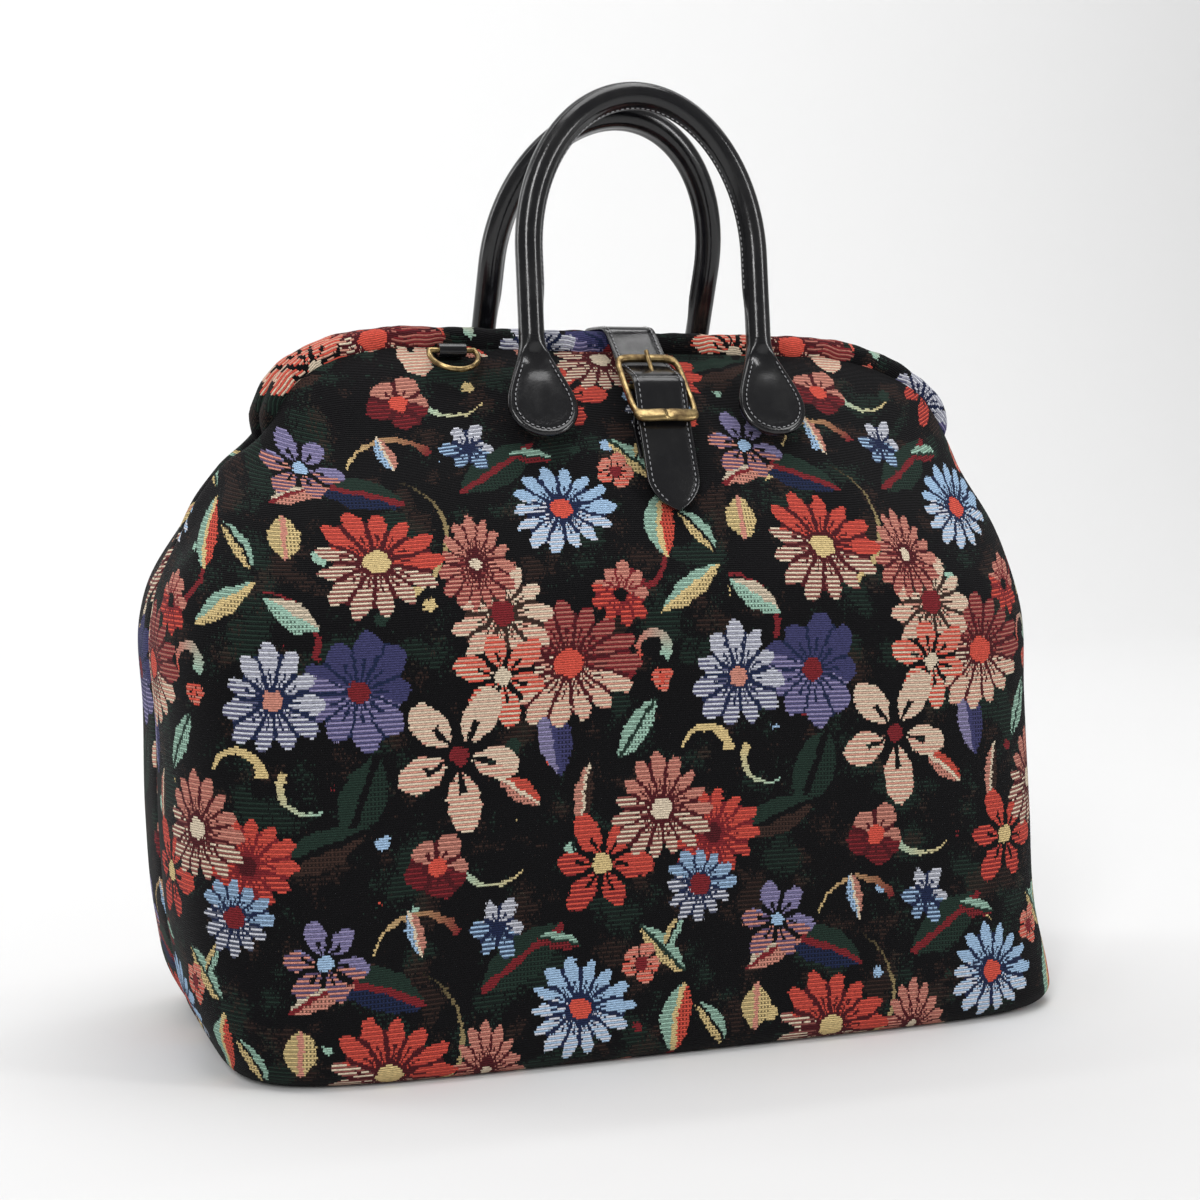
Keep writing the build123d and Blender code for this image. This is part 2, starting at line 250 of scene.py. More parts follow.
def make_piece(
    name: str,
    patches: Sequence[Patch],
    finish: bpy.types.Material,
    middle: Sequence[float] | None = None,
) -> bpy.types.Object:
    """Welds patches into one smooth mesh object in metres.

    Args:
        name: the piece's name.
        patches: its grids, in millimetres.
        finish: its material.
        middle: for an open sheet, a point inside the bag, in millimetres, that its faces turn away
            from. A closed piece has its faces turned outward without it.

    Returns:
        The new object, at the origin.
    """
    first, quads, flats = 0, [], []
    for patch in patches:
        quads.append(patch.quads(first))
        flats.append(patch.corner_flats())
        first += patch.points.shape[0] * patch.points.shape[1]
    points = np.concatenate([p.points.reshape(-1, 3) for p in patches]) * MM
    faces = np.concatenate(quads)
    mesh = bpy.data.meshes.new(name)
    mesh.from_pydata(points.tolist(), [], faces.tolist())
    layer = mesh.uv_layers.new(name=UV_NAME)
    layer.data.foreach_set("uv", (np.concatenate(flats) * MM).astype(np.float32).ravel())
    work = bmesh.new()
    work.from_mesh(mesh)
    bmesh.ops.remove_doubles(work, verts=work.verts, dist=2e-6)
    bmesh.ops.dissolve_degenerate(work, edges=work.edges, dist=1e-7)
    if middle is None:
        bmesh.ops.recalc_face_normals(work, faces=work.faces)
    else:
        inside = Vector(middle) * MM
        away = sum((f.calc_center_median() - inside).dot(f.normal) * f.calc_area() for f in work.faces)
        if away < 0:
            bmesh.ops.reverse_faces(work, faces=work.faces)
    work.to_mesh(mesh)
    work.free()
    mesh.polygons.foreach_set("use_smooth", np.ones(len(mesh.polygons), bool))
    mesh.materials.append(finish)
    piece = bpy.data.objects.new(name, mesh)
    bpy.context.scene.collection.objects.link(piece)
    LOG.info("built %s: %d faces", name, len(mesh.polygons))
    return piece


def with_thickness(piece: bpy.types.Object, thickness: float, levels: int) -> bpy.types.Object:
    """Gives a sheet its thickness inward, and smooths it."""
    wall = piece.modifiers.new("Thickness", "SOLIDIFY")
    wall.thickness = thickness * MM
    wall.offset = -1.0
    finer = piece.modifiers.new("Smooth", "SUBSURF")
    finer.levels = levels
    finer.render_levels = levels
    bpy.context.view_layer.objects.active = piece
    for name in ("Thickness", "Smooth"):
        with bpy.context.temp_override(object=piece, active_object=piece):
            bpy.ops.object.modifier_apply(modifier=name)
    return piece


def rest_on_floor(piece: bpy.types.Object) -> None:
    """Flattens whatever of a piece hangs below z = 0."""
    vertices = piece.data.vertices
    places = np.empty(3 * len(vertices), np.float32)
    vertices.foreach_get("co", places)
    places[2::3] = np.maximum(places[2::3], 0.0)
    vertices.foreach_set("co", places)
    piece.data.update()


# ---------------------------------------------------------------- cloth body
@dataclass(frozen=True)
class MouthLine:
    """The inverted U of a frame half: short legs, quarter-ellipse corners and a straight top.

    A corner is x = middle + reach * cos a, z = leg top + rise * sin a. Soft cloth lets the rolls
    stand a little to the left of the steel inside them, by lean, and higher there, by tilt.
    """

    span: float
    foot: float
    top: float
    reach: float = 85.0
    rise: float = 48.0
    lean: float = 5.5
    tilt: float = 0.015

    def points(self, y: float, step: float = 3.0) -> Array:
        """The line at one depth, evenly spaced."""
        side, leg = self.span - self.reach, self.top - self.rise
        turn = np.linspace(math.pi, math.pi / 2, 24)
        left = np.stack([-side + self.reach * np.cos(turn), 0 * turn + y, leg + self.rise * np.sin(turn)], 1)
        right = left[::-1] * np.array([-1.0, 1.0, 1.0])
        ends = [np.array([[sign * self.span, y, self.foot]]) for sign in (-1, 1)]
        line = np.concatenate([ends[0], left, right, ends[1]])
        high = smooth_step(self.foot, self.top, line[:, 2])
        line[:, 2] -= self.tilt * line[:, 0] * high
        line[:, 0] -= self.lean * high
        return resample(line, int(lengths_along(line)[-1] / step))


@dataclass
class BagBody:
    """The tapestry body: a full bag on a stiff base, gathered up to the two rolls.

    The level rows hold height, reach to the left, reach to the right, half-depth and fullness of a
    superellipse. The bag is fuller on its left.
    """

    levels: tuple[tuple[float, ...], ...] = (
        (12.0, 242.5, 244.0, 117.0, 6.0),
        (30.0, 253.0, 243.0, 117.0, 5.4),
        (60.0, 259.5, 238.0, 116.5, 5.0),
        (120.0, 264.0, 235.5, 116.0, 4.6),
        (180.0, 265.0, 235.0, 115.0, 4.1),
        (230.0, 267.5, 235.0, 113.0, 3.6),
        (250.0, 264.0, 232.0, 109.0, 3.3),
        (280.0, 251.0, 226.0, 96.0, 2.8),
        (298.0, 242.0, 219.0, 86.0, 2.5),
        (314.0, 229.0, 213.0, 76.0, 2.3),
    )
    base_edge: float = 12.0
    hinge_height: float = 314.0
    seam_height: float = 377.0
    seam_reach: float = 13.5
    leg_span: float = 202.0
    leg_foot: float = 326.0
    cloth: float = 1.8
    columns: int = 126
    wall_rows: int = 50
    top_rows: int = 16

    def level(self, z: float) -> list[float]:
        """Left reach, right reach, half-depth and fullness of the section at a height."""
        keys = [row[0] for row in self.levels]
        return [float(smooth_table(keys, [row[i] for row in self.levels], np.array(z))) for i in (1, 2, 3, 4)]

    def section(self, z: float, inset: float) -> Array:
        """Half of the section at a height, from the left seam to the right one, spaced evenly.

        The curve is x = reach * cos^(2/n) and out = half-depth * sin^(2/n), with the left and the
        right reach joined at the middle.
        """
        left, right, deep, full = self.level(max(z, self.base_edge))
        edge = 0.0
        if z < self.base_edge:
            edge = self.base_edge * (1 - math.sqrt(max(0.0, 1 - (1 - z / self.base_edge) ** 2)))
        turn = np.linspace(math.pi, 0.0, 721)
        x = signed_power(np.cos(turn), 2 / full)
        x = x * (np.where(x < 0, left, right) - edge - inset)
        y = signed_power(np.sin(turn), 2 / full) * (deep - edge - inset)
        return resample(np.stack([x, y, np.full_like(x, z)], 1), self.columns)

    def rim(self, inset: float) -> Array:
        """Where the cloth meets its roll: up one leg, along the top and down the other leg."""
        line = MouthLine(self.leg_span - 2 * inset, self.leg_foot, self.seam_height).points(0.0)
        share = lengths_along(line) / lengths_along(line)[-1]
        fold_in = smooth_step(0.0, 0.09, share) * smooth_step(0.0, 0.09, 1 - share)
        line[:, 1] = 1.5 + (self.seam_reach - 1.5) * fold_in - 0.4 * inset
        return line

    def meridians(self, inset: float) -> Array:
        """The whole half-surface, rows from the middle of the bottom up to the roll."""
        floor = inset * 1.4
        first = self.section(floor, inset)
        rows = [first * np.array([1, k, 1]) for k in np.linspace(0.0, 0.96, 7)]
        edge = self.base_edge * (1 - np.cos(np.linspace(0.0, math.pi / 2, 7)))
        rise = np.linspace(0, 1, self.wall_rows) ** 0.92
        heights = np.concatenate([edge[:-1], self.base_edge + (self.hinge_height - self.base_edge) * rise])
        heights = heights[heights >= floor - 1e-6] if inset else heights
        rows += [self.section(z, inset) for z in heights]
        below, fold = self.section(self.hinge_height - 6, inset), rows[-1]
        share = lengths_along(fold) / lengths_along(fold)[-1]
        rim = resample(self.rim(inset), self.columns, self.rim_share(share))
        reach = np.linalg.norm(rim - fold, axis=1, keepdims=True)
        leave = (fold - below) / 6.0 * reach * 1.05
        arrive = np.stack([-np.sign(rim[:, 0]) * 0.25 * (np.abs(rim[:, 0]) > 150), -np.full(len(rim), 0.78),
                           np.full(len(rim), 0.55)], 1) * reach * 0.95
        for t in np.linspace(0, 1, self.top_rows)[1:]:
            rows.append((2 * t**3 - 3 * t**2 + 1) * fold + (t**3 - 2 * t**2 + t) * leave
                        + (3 * t**2 - 2 * t**3) * rim + (t**3 - t**2) * arrive)
        return np.stack(rows)

    @staticmethod
    def rim_share(share: Array) -> Array:
        """How the places round the fold map to places along the rim: the cloth at the ends gathers."""
        return smooth_table((0, 0.09, 0.2, 0.5, 0.8, 0.91, 1), (0, 0.075, 0.175, 0.5, 0.825, 0.925, 1), share)

    def slack(self, surface: Array) -> Array:
        """How far soft cloth stands proud of its plain form, as a sum of bells and slow waves."""
        x, z = surface[..., 0], surface[..., 2]
        y = surface[..., 1]
        up = smooth_step(14.0, 50.0, z) * (1 - smooth_step(350.0, 372.0, z))
        face = smooth_step(40.0, 90.0, y)
        wave = 1.6 * np.sin(x / 61.0 + 0.9 * np.sin(z / 70.0)) * bell(150, 120, z)
        wave += 1.2 * np.sin(x / 27.0 + z / 95.0 + 1.3) * bell(40, 45, z)
        pull = 2.4 * bell(-66, 26, x) + 2.4 * bell(66, 26, x)
        wave += pull * bell(322, 34, z) * -1.0 + 2.2 * bell(0, 34, x) * bell(300, 40, z) * -1.0
        for x0, z0, wide, tall, rise in (
            (-150, 235, 60, 30, 3.2), (10, 246, 55, 22, 2.6), (150, 240, 55, 26, 3.0),
            (-190, 120, 50, 60, 2.6), (190, 90, 45, 60, 2.0), (60, 70, 80, 34, -1.8),
            (-90, 60, 70, 30, -1.6), (-205, 290, 26, 24, 3.5), (200, 296, 26, 22, 3.0),
            (110, 300, 22, 28, 2.4), (-112, 300, 20, 26, 2.2), (36, 296, 14, 24, 1.8),
        ):
            wave += rise * bell(x0, wide, x) * bell(z0, tall, z)
        side = 1 - smooth_step(10.0, 60.0, y)
        gusset = -5.0 * bell(26, 20, y) * bell(285, 40, z) + 3.0 * bell(120, 70, z) * bell(60, 40, y)
        return (wave * (0.35 + 0.65 * face) + gusset * side) * up

    def surface(self, inset: float = 0.0) -> Array:
        """The half-surface with its slack, pinched in along the side seams, with out as +Y."""
        plain = self.meridians(inset)
        along = np.gradient(plain, axis=1)
        up = np.gradient(plain, axis=0)
        normal = np.cross(up, along)
        size = np.linalg.norm(normal, axis=2, keepdims=True)
        normal = normal / np.maximum(size, 1e-9)
        middle = plain.shape[0] // 2, plain.shape[1] // 2
        if normal[middle][1] < 0:
            normal = -normal
        moved = plain + normal * self.slack(plain)[..., None]
        from_seam = np.minimum(np.abs(np.arange(self.columns)), np.abs(np.arange(self.columns)[::-1]))
        pinch = 2.4 * np.exp(-from_seam / 0.9)[None, :, None] * (plain[..., 2:] > 14)
        return moved - normal * pinch * (1 if inset == 0 else 0)

    def flats(self, surface: Array) -> Array:
        """Flat-cloth coordinates: length round each row from the middle, and length up each column."""
        steps = np.linalg.norm(np.diff(surface, axis=1), axis=2)
        run = np.concatenate([np.zeros((len(surface), 1)), np.cumsum(steps, axis=1)], axis=1)
        zero = np.array([np.interp(0.0, row[:, 0], r) for row, r in zip(surface, run)])
        lift = np.linalg.norm(np.diff(surface, axis=0), axis=2)
        rise = np.concatenate([np.zeros((1, surface.shape[1])), np.cumsum(lift, axis=0)], axis=0)
        return np.stack([run - zero[:, None], rise - rise[7:8]], -1)

    def build(self, side: Side, outer: bpy.types.Material, inner: bpy.types.Material) -> None:
        """Makes one side's tapestry and its lining, bending from the body to that side's frame."""
        flip = np.array([1.0, side.value, 1.0])
        word = side.word
        for name, inset, thick, finish, nodes in (
            (f"{word}_tapestry", 0.0, self.cloth, outer, (f"{word}_panel", f"{word}_panel_top")),
            (f"{word}_lining_cloth", 3.2, 0.6, inner, (f"{word}_lining", f"{word}_lining_top")),
        ):
            half = self.surface(inset)
            flat = self.flats(half)
            flat[..., 0] *= -side.value
            patch = Patch(half * flip, flat)
            piece = make_piece(name, [patch], finish, middle=(0, 0, 150))
            with_thickness(piece, thick, 1)
            rest_on_floor(piece)
            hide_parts(*nodes)
            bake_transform(piece)


@dataclass
class FrameRoll:
    """A strip of tapestry rolled round one half of the mouth frame."""

    span: float = 200.0
    reach: float = 9.0
    top: float = 380.0
    foot: float = 325.0
    print_place: tuple[float, float] = (-155.0, 465.0)
    half_deep: float = 7.5
    half_high: float = 7.2

    def build(self, side: Side, cloth: bpy.types.Material) -> None:
        """Makes the roll: a rounded profile along the frame's U, closed and narrower at its feet."""
        span = self.span + (2.2 if side is Side.BACK else 0.0)
        y = side.value * self.reach
        path = MouthLine(span, self.foot, self.top).points(y)
        run = lengths_along(path)
        ends = np.minimum(run, run[-1] - run)
        grow = 0.35 + 0.65 * np.sqrt(np.clip(ends / 16.0, 0, 1))
        puffs = 0.28 * np.sin(run / 5.2) + 0.2 * np.sin(run / 2.3 + 1.0)
        deep = self.half_deep * grow + puffs * 0.5
        high = self.half_high * grow + puffs
        profile = oval(deep, high, np.full(len(path), 2.6), 41)
        patch = carried(path, np.array([0.0, 1.0, 0.0]), profile)
        patch.flat = patch.flat + np.array(self.print_place)
        piece = make_piece(f"{side.word}_frame_roll", [patch], cloth)
        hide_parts(f"{side.word}_roll")
        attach(piece, f"{side.word}_mouth")


# ---------------------------------------------------------------- leather
@dataclass
class Stitching:
    """A row of short thread stitches."""

    pitch: float = 3.2
    length: float = 2.1
    radius: float = 0.32

    def patches(self, line: Array, outward: Array) -> list[Patch]:
        """One small spindle for each stitch, lying along a line just above a surface.

        A spindle's radius is radius * sin^(1/2) of its own angle, and five points go round it.

        Args:
            line: places to stitch along, n x 3.
            outward: the surface's unit normal at each of those places.

        Returns:
            A single patch for each stitch, all worked out together.
        """
        run = lengths_along(line)
        count = max(2, int(run[-1] / self.pitch))
        at = (np.arange(count) + 0.5) * run[-1] / count
        pick = lambda values, where: np.stack([np.interp(where, run, values[:, i]) for i in range(3)], 1)
        middle = pick(line, at)
        along = pick(line, at + 0.5) - pick(line, at - 0.5)
        along /= np.linalg.norm(along, axis=1, keepdims=True)
        out = pick(outward, at)
        across = np.cross(along, out)
        share = np.linspace(0, math.pi, 5)
        turn = np.linspace(0, 2 * math.pi, 6)
        size = self.radius * np.sqrt(np.maximum(np.sin(share), 0.0))
        body = (
            middle[:, None, None]
            - along[:, None, None] * (0.5 * self.length * np.cos(share))[None, :, None, None]
            + across[:, None, None] * (size[:, None] * np.cos(turn))[None, ..., None]
            + out[:, None, None] * (0.6 * size[:, None] * np.sin(turn) + 0.12)[None, ..., None]
        )
        flat = np.zeros((5, 6, 2))
        return [Patch(one, flat) for one in body]


@dataclass
class HandleSet:
    """A rolled handle and its two teardrop ears, sewn from one piece of leather."""

    spacing: float = 133.0
    radius: float = 7.0
    neck_out: float = 46.0
    neck_height: float = 383.0
    straight: float = 46.0
    arch: float = 88.0
    ear_width: float = 39.0
    ear_length: float = 61.5
    ear_slope: float = 31.0
    stitch_inset: float = 3.8
    stitching: Stitching = field(default_factory=lambda: Stitching(3.0, 2.0, 0.33))

    def grip_path(self, side: Side, lean: float) -> tuple[Array, Array]:
        """The handle's line, two legs and a half ellipse in a leaning plane, and the plane's normal."""
        half = self.spacing / 2
        turn = np.linspace(math.pi, 0, 90)
        x = np.concatenate([[-half], half * np.cos(turn), [half]])
        up = np.concatenate([[0], self.straight + self.arch * np.sin(turn), [0]])
        tilt = math.radians(lean)
        y = side.value * (self.neck_out - up * math.sin(tilt))
        line = np.stack([x, y, self.neck_height + up * math.cos(tilt)], 1)
        normal = np.array([0.0, side.value * math.cos(tilt), math.sin(tilt)])
        return resample(line, 150), normal

    def grip(self, side: Side, lean: float) -> tuple[Patch, Array, Array]:
        """The rolled tube, with the ridge of its seam on the inside of the arch."""
        path, normal = self.grip_path(side, lean)
        turn = np.linspace(0, 2 * math.pi, 41)
        run = lengths_along(path)
        ends = smooth_step(8.0, 30.0, np.minimum(run, run[-1] - run))
        tangent = np.gradient(path, axis=0)
        inward = np.cross(np.broadcast_to(normal, path.shape), tangent)
        inward /= np.linalg.norm(inward, axis=1, keepdims=True)
        if inward[75, 2] > 0:
            inward = -inward
        ridge = 1.5 * np.exp(-((np.minimum(turn, 2 * math.pi - turn) / 0.2) ** 2))
        size = self.radius + ends[:, None] * ridge[None]
        points = path[:, None] + inward[:, None] * (size * np.cos(turn))[..., None]
        points = points + normal * (size * np.sin(turn))[..., None]
        flat = np.stack(np.broadcast_arrays(run[:, None], self.radius * turn[None]), -1)
        keep = (run > 26) & (run < run[-1] - 26)
        seam = path + inward * (self.radius + 0.8) + normal * 1.1
        return Patch(points, flat), seam[keep], np.broadcast_to(normal, path.shape)[keep]

    def ear(self, side: Side, lean: float, x0: float) -> tuple[Patch, Array, Array]:
        """One ear: its round neck flattens and widens into a teardrop with a raised edge.

        The half-width is a smooth table that ends in a circle, and the half-thickness falls from
        the tube's radius to the leather's. A bell-shaped trough runs down the middle of the neck.
        """
        tip = self.ear_length - 6
        closer = tip + 6 * np.sin(np.linspace(0, math.pi / 2, 12))
        s = np.unique(np.concatenate([np.linspace(0, tip, 44), closer]))
        round_r = self.ear_width / 2
        centre = self.ear_length - round_r
        wide = smooth_table((0, 5, 12, 20, 28, 36, centre), (7.0, 7.3, 9.4, 12.6, 15.9, 18.6, round_r), s)
        tail = np.sqrt(np.maximum(round_r**2 - (s - centre) ** 2, 0.0))
        wide = np.where(s > centre, tail, wide)
        thick = smooth_table((0, 5, 12, 20, 28, 40, 70), (7.0, 6.5, 4.4, 2.9, 2.2, 2.0, 2.0), s)
        closing = np.sqrt(np.clip((self.ear_length - s) / 1.5, 0, 1))
        thick = np.where(s > self.ear_length - 1.5, thick * closing, thick)
        first, last = math.radians(lean), math.radians(self.ear_slope)
        angle = first + (last - first) * smooth_step(0, 15, s)
        step = np.gradient(s)
        down = np.stack([np.zeros_like(s), side.value * np.sin(angle), -np.cos(angle)], 1)
        out = np.stack([np.zeros_like(s), side.value * np.cos(angle), np.sin(angle)], 1)
        neck = np.array([x0, side.value * self.neck_out, self.neck_height])
        path = neck + np.cumsum(down * step[:, None], axis=0) - down[:1] * step[0]
        full = smooth_table((0, 10, 22, 70), (2.0, 2.3, 3.6, 4.5), s)
        profile = oval(wide, thick, full, 57)
        across = profile[..., 0] / np.maximum(wide[:, None], 0.5)
        front = smooth_step(0.0, 0.6, profile[..., 1] / np.maximum(thick[:, None], 0.3))
        trough = 2.6 * bell(17, 9, s)[:, None] * (1 - np.clip(np.abs(across) * 1.25, 0, 1) ** 2)
        inset = (1 - np.abs(across)) * wide[:, None]
        bottom = np.hypot(across * wide[:, None], np.maximum(s - centre, 0)[:, None])
        inset = np.where((s > centre)[:, None], round_r - bottom, inset)
        doubled = 0.55 * bell(1.6, 1.1, inset) + 0.3 * bell(5.4, 0.8, inset)
        raised = doubled * smooth_step(14, 28, s)[:, None]
        lift = profile[..., 1] + front * (raised - trough)
        points = path[:, None] + ACROSS * profile[..., :1] + out[:, None] * lift[..., None]
        flat = np.stack(np.broadcast_arrays(s[:, None], np.linspace(0, 2 * math.pi, 57)[None] * 7.0), -1)
        line, normals = self.stitch_line(path, out, wide, thick, s, centre, round_r)
        return Patch(points, flat), line, normals

    def stitch_line(self, path: Array, out: Array, wide: Array, thick: Array, s: Array, centre: float,
                    round_r: float) -> tuple[Array, Array]:
        """The line of stitches just inside an ear's edge: down one side, round and up the other."""
        down = (s > 15) & (s < centre)
        sides = []
        inner = round_r - self.stitch_inset
        for sign in (-1, 1):
            x = sign * (wide[down] - self.stitch_inset)
            above = out[down] * (thick[down] + 0.25)[:, None]
            sides.append((path[down] + ACROSS * x[:, None] + above, out[down]))
        turn = np.linspace(math.pi, 0, 30)
        at = centre + inner * np.sin(turn)
        bottom = np.stack([np.interp(at, s, path[:, i]) for i in range(3)], 1)
        bottom[:, 0] += inner * np.cos(turn)
        facing = np.stack([np.interp(at, s, out[:, i]) for i in range(3)], 1)
        bottom = bottom + facing * 2.25
        line = np.concatenate([sides[0][0], bottom, sides[1][0][::-1]])
        return line, np.concatenate([sides[0][1], facing, sides[1][1][::-1]])

    def build(self, side: Side, lean: float, leather: bpy.types.Material, thread: bpy.types.Material) -> None:
        """Makes the handle with its ears, and their stitches."""
        tube, seam, facing = self.grip(side, lean)
        ears = [self.ear(side, lean, x) for x in (-self.spacing / 2, self.spacing / 2)]
        word = side.word
        piece = make_piece(f"{word}_rolled_handle", [tube, ears[0][0], ears[1][0]], leather)
        threads = self.stitching.patches(seam, facing)
        for _, line, normals in ears:
            threads += self.stitching.patches(line, normals)
        sewn = make_piece(f"{word}_handle_stitches", threads, thread)
        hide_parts(f"{word}_handle", f"{word}_handle_tab_left", f"{word}_handle_tab_right")
        for part in (piece, sewn):
            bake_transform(part)


@dataclass
class BucklePlace:
    """The plane that the buckle lies in: its middle, and its directions down the slope and out."""

    y: float = -59.67
    z: float = 356.0
    slope: float = 46.0

    @property
    def down(self) -> Array:
        """The direction down the slope."""
        a = math.radians(self.slope)
        return np.array([0.0, -math.sin(a), -math.cos(a)])

    @property
    def out(self) -> Array:
        """The direction out of the slope."""
        a = math.radians(self.slope)
        return np.array([0.0, -math.cos(a), math.sin(a)])

    def at(self, x: Array | float, s: Array | float, n: Array | float) -> Array:
        """Points by their place across, down and out of the plane."""
        x, s, n = np.broadcast_arrays(np.asarray(x, float), np.asarray(s, float), np.asarray(n, float))
        middle = np.array([0.0, self.y, self.z])
        return middle + x[..., None] * ACROSS + s[..., None] * self.down + n[..., None] * self.out


@dataclass
class ClosingBuckle:
    """A cast buckle: light sides and top, a broad curved lower bar, and a middle bar."""

    place: BucklePlace = field(default_factory=BucklePlace)
    half_width: float = 17.6
    half_length: float = 22.5
    side_half: float = 1.55
    top_half: float = 2.3
    foot_half: float = 3.9
    thickness: float = 1.75
    bar: float = 1.5

    def build(self, brass: bpy.types.Material) -> None:
        """Carries a rounded profile round a squarish loop; it widens along the lower bar."""
        turn = np.linspace(0, 2 * math.pi, 1441)
        loop = np.stack([self.half_width * signed_power(np.cos(turn), 2 / 6.5),
                         self.half_length * signed_power(np.sin(turn), 2 / 6.5), 0 * turn], 1)
        loop = resample(loop, 181)
        tangent = np.gradient(loop, axis=0)
        tangent[0] = tangent[-1] = loop[1] - loop[-2]
        tangent /= np.linalg.norm(tangent, axis=1, keepdims=True)
        outward = np.stack([tangent[:, 1], -tangent[:, 0]], 1)
        foot = smooth_step(0.80, 0.97, loop[:, 1] / self.half_length)
        head = smooth_step(0.80, 0.97, -loop[:, 1] / self.half_length)
        wide = self.side_half + (self.foot_half - self.side_half) * foot
        wide = wide + (self.top_half - self.side_half) * head
        middle = loop[:, :2] + outward * ((self.foot_half - self.side_half) * 0.25 * foot)[:, None]
        bow = 1.6 * foot * np.cos(np.clip(loop[:, 0] / self.half_width, -1, 1) * math.pi / 2)
        thick = self.thickness + 0.25 * foot
        notch = 0.9 * foot * bell(0.0, 1.6, loop[:, 0])
        profile = oval(wide, thick, np.full(len(loop), 2.9), 33)
        x = middle[:, None, 0] + outward[:, None, 0] * profile[..., 0]
        s = middle[:, None, 1] + outward[:, None, 1] * profile[..., 0]
        upper = np.clip(profile[..., 1] / thick[:, None], 0, 1)
        n = profile[..., 1] + bow[:, None] - notch[:, None] * upper
        flat = np.stack(np.broadcast_arrays(lengths_along(loop)[:, None], turn[None, :33]), -1)
        ring = Patch(self.place.at(x, s, n), flat)
        along = np.linspace(-self.half_width, self.half_width, 12)
        rod_turn = np.linspace(0, 2 * math.pi, 21)
        around = self.bar * np.cos(rod_turn)[None], self.bar * np.sin(rod_turn)[None]
        rod = self.place.at(along[:, None], *around)
        rod_patch = Patch(rod, np.zeros(rod.shape[:2] + (2,)))
        piece = make_piece("closing_buckle", [ring, rod_patch], brass)
        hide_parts("buckle_frame")
        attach(piece, "buckle")


@dataclass
class ClosingStrap:
    """The long strap over the mouth and the short one that holds the buckle."""

    place: BucklePlace = field(default_factory=BucklePlace)
    width: float = 30.0
    thickness: float = 2.6
    point: float = 19.0
    stitch_inset: float = 2.6
    root_y: float = 18.2
    top_z: float = 388.8
    stitching: Stitching = field(default_factory=lambda: Stitching(3.2, 2.1, 0.33))

    def band(self, path: Array, pointed: bool, thick: float) -> tuple[Patch, list[Patch]]:
        """A flat leather strap along a path in the middle plane, and its stitches.

        Half-width is half the width, then over a pointed end half * (1 - t^1.9)^(1/1.25). The
        profile is a superellipse with a shallow groove along each edge.
        """
        run = lengths_along(path)
        half = self.width / 2
        left = run[-1] - run
        t = np.clip(1 - left / self.point, 0, 1) if pointed else np.zeros_like(run)
        wide = half * np.maximum(1 - t**1.9, 0.0) ** (1 / 1.25)
        wide = np.maximum(wide, 0.05)
        profile = oval(wide, np.full(len(path), thick / 2), np.full(len(path), 5.5), 49)
        across = profile[..., 0] / wide[:, None]
        edge = 0.25 * bell(self.stitch_inset, 0.9, (1 - np.abs(across)) * wide[:, None])
        profile[..., 1] -= np.sign(profile[..., 1]) * edge * (np.abs(profile[..., 1]) > 0.3 * thick)
        patch = carried(path, -ACROSS, profile)
        along = np.concatenate([run[:1], run, run[-1:]])
        end = np.zeros_like(profile[:1, :, 0])
        sideways = np.concatenate([end, profile[..., 0], end])
        patch.flat = np.stack(np.broadcast_arrays(along[:, None], sideways), -1)
        tangent = np.gradient(path, axis=0)
        tangent /= np.linalg.norm(tangent, axis=1, keepdims=True)
        normal = np.cross(np.broadcast_to(-ACROSS, path.shape), tangent)
        threads = []
        keep = (left > (4.5 if pointed else 3.0)) & (run > 3.0)
        for sign in (-1, 1):
            x = sign * np.maximum(wide - self.stitch_inset, 0.0)
            line = path + ACROSS * x[:, None] + normal * (thick / 2 - 0.12)
            threads += self.stitching.patches(line[keep], normal[keep])
        return patch, threads

    @staticmethod
    def cloth_place(body: BagBody, z: float, gap: float) -> tuple[float, float, float]:
        """A place on the middle line at this height, this far in front of the cloth."""
        half = body.surface()[20:, body.columns // 2]
        return 0.0, -(float(np.interp(z, half[:, 2], half[:, 1])) + gap), z

    def long_path(self, body: BagBody) -> Array:
        """From the sewn end at the back, over both rolls, through the buckle, to the tip."""
        sewn = [self.cloth_place(body, z, 1.8) for z in (336.0, 352.0, 365.5)]
        corners = [(x, -y, z) for x, y, z in sewn]
        corners += [(0, self.root_y + 0.4, 375.0), (0, self.root_y, self.top_z), (0, -16.5, self.top_z)]
        corners += [tuple(self.place.at(0, *spot)) for spot in ((-22.5, -4.9), (0, 6.1), (22.5, -4.9))]
        corners += [self.cloth_place(body, 309.0, 8.0), self.cloth_place(body, 290.0, 5.5)]
        return softened(rounded_path(np.array(corners, float), 7.0, 1.0), 14)

    def build(self, body: BagBody, leather: bpy.types.Material, thread: bpy.types.Material) -> None:
        """Makes both straps with their stitches."""
        patch, threads = self.band(self.long_path(body), True, self.thickness)
        piece = make_piece("mouth_strap", [patch], leather)
        sewn = make_piece("mouth_strap_stitches", threads, thread)
        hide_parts("closing_strap", "strap_anchor")
        for part in (piece, sewn):
            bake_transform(part)
        loop = np.linspace(0.35 * math.pi, 1.5 * math.pi, 16)
        ring = self.place.at(0, -2.7 * np.sin(loop), 2.7 * np.cos(loop))
        sewn_down = self.cloth_place(body, 335.0, 3.4), self.cloth_place(body, 318.0, 2.6)
        tail = np.array([self.place.at(0, 13.0, -6.5), *sewn_down])
        short = softened(resample(np.concatenate([ring[:-3], tail]), 60), 3)
        patch, threads = self.band(short, False, 2.2)
        chape = make_piece("buckle_chape", [patch], leather)
        chape_sewn = make_piece("buckle_chape_stitches", threads, thread)
        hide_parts("buckle_strap")
        for part in (chape, chape_sewn):
            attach(part, "front_tabs")


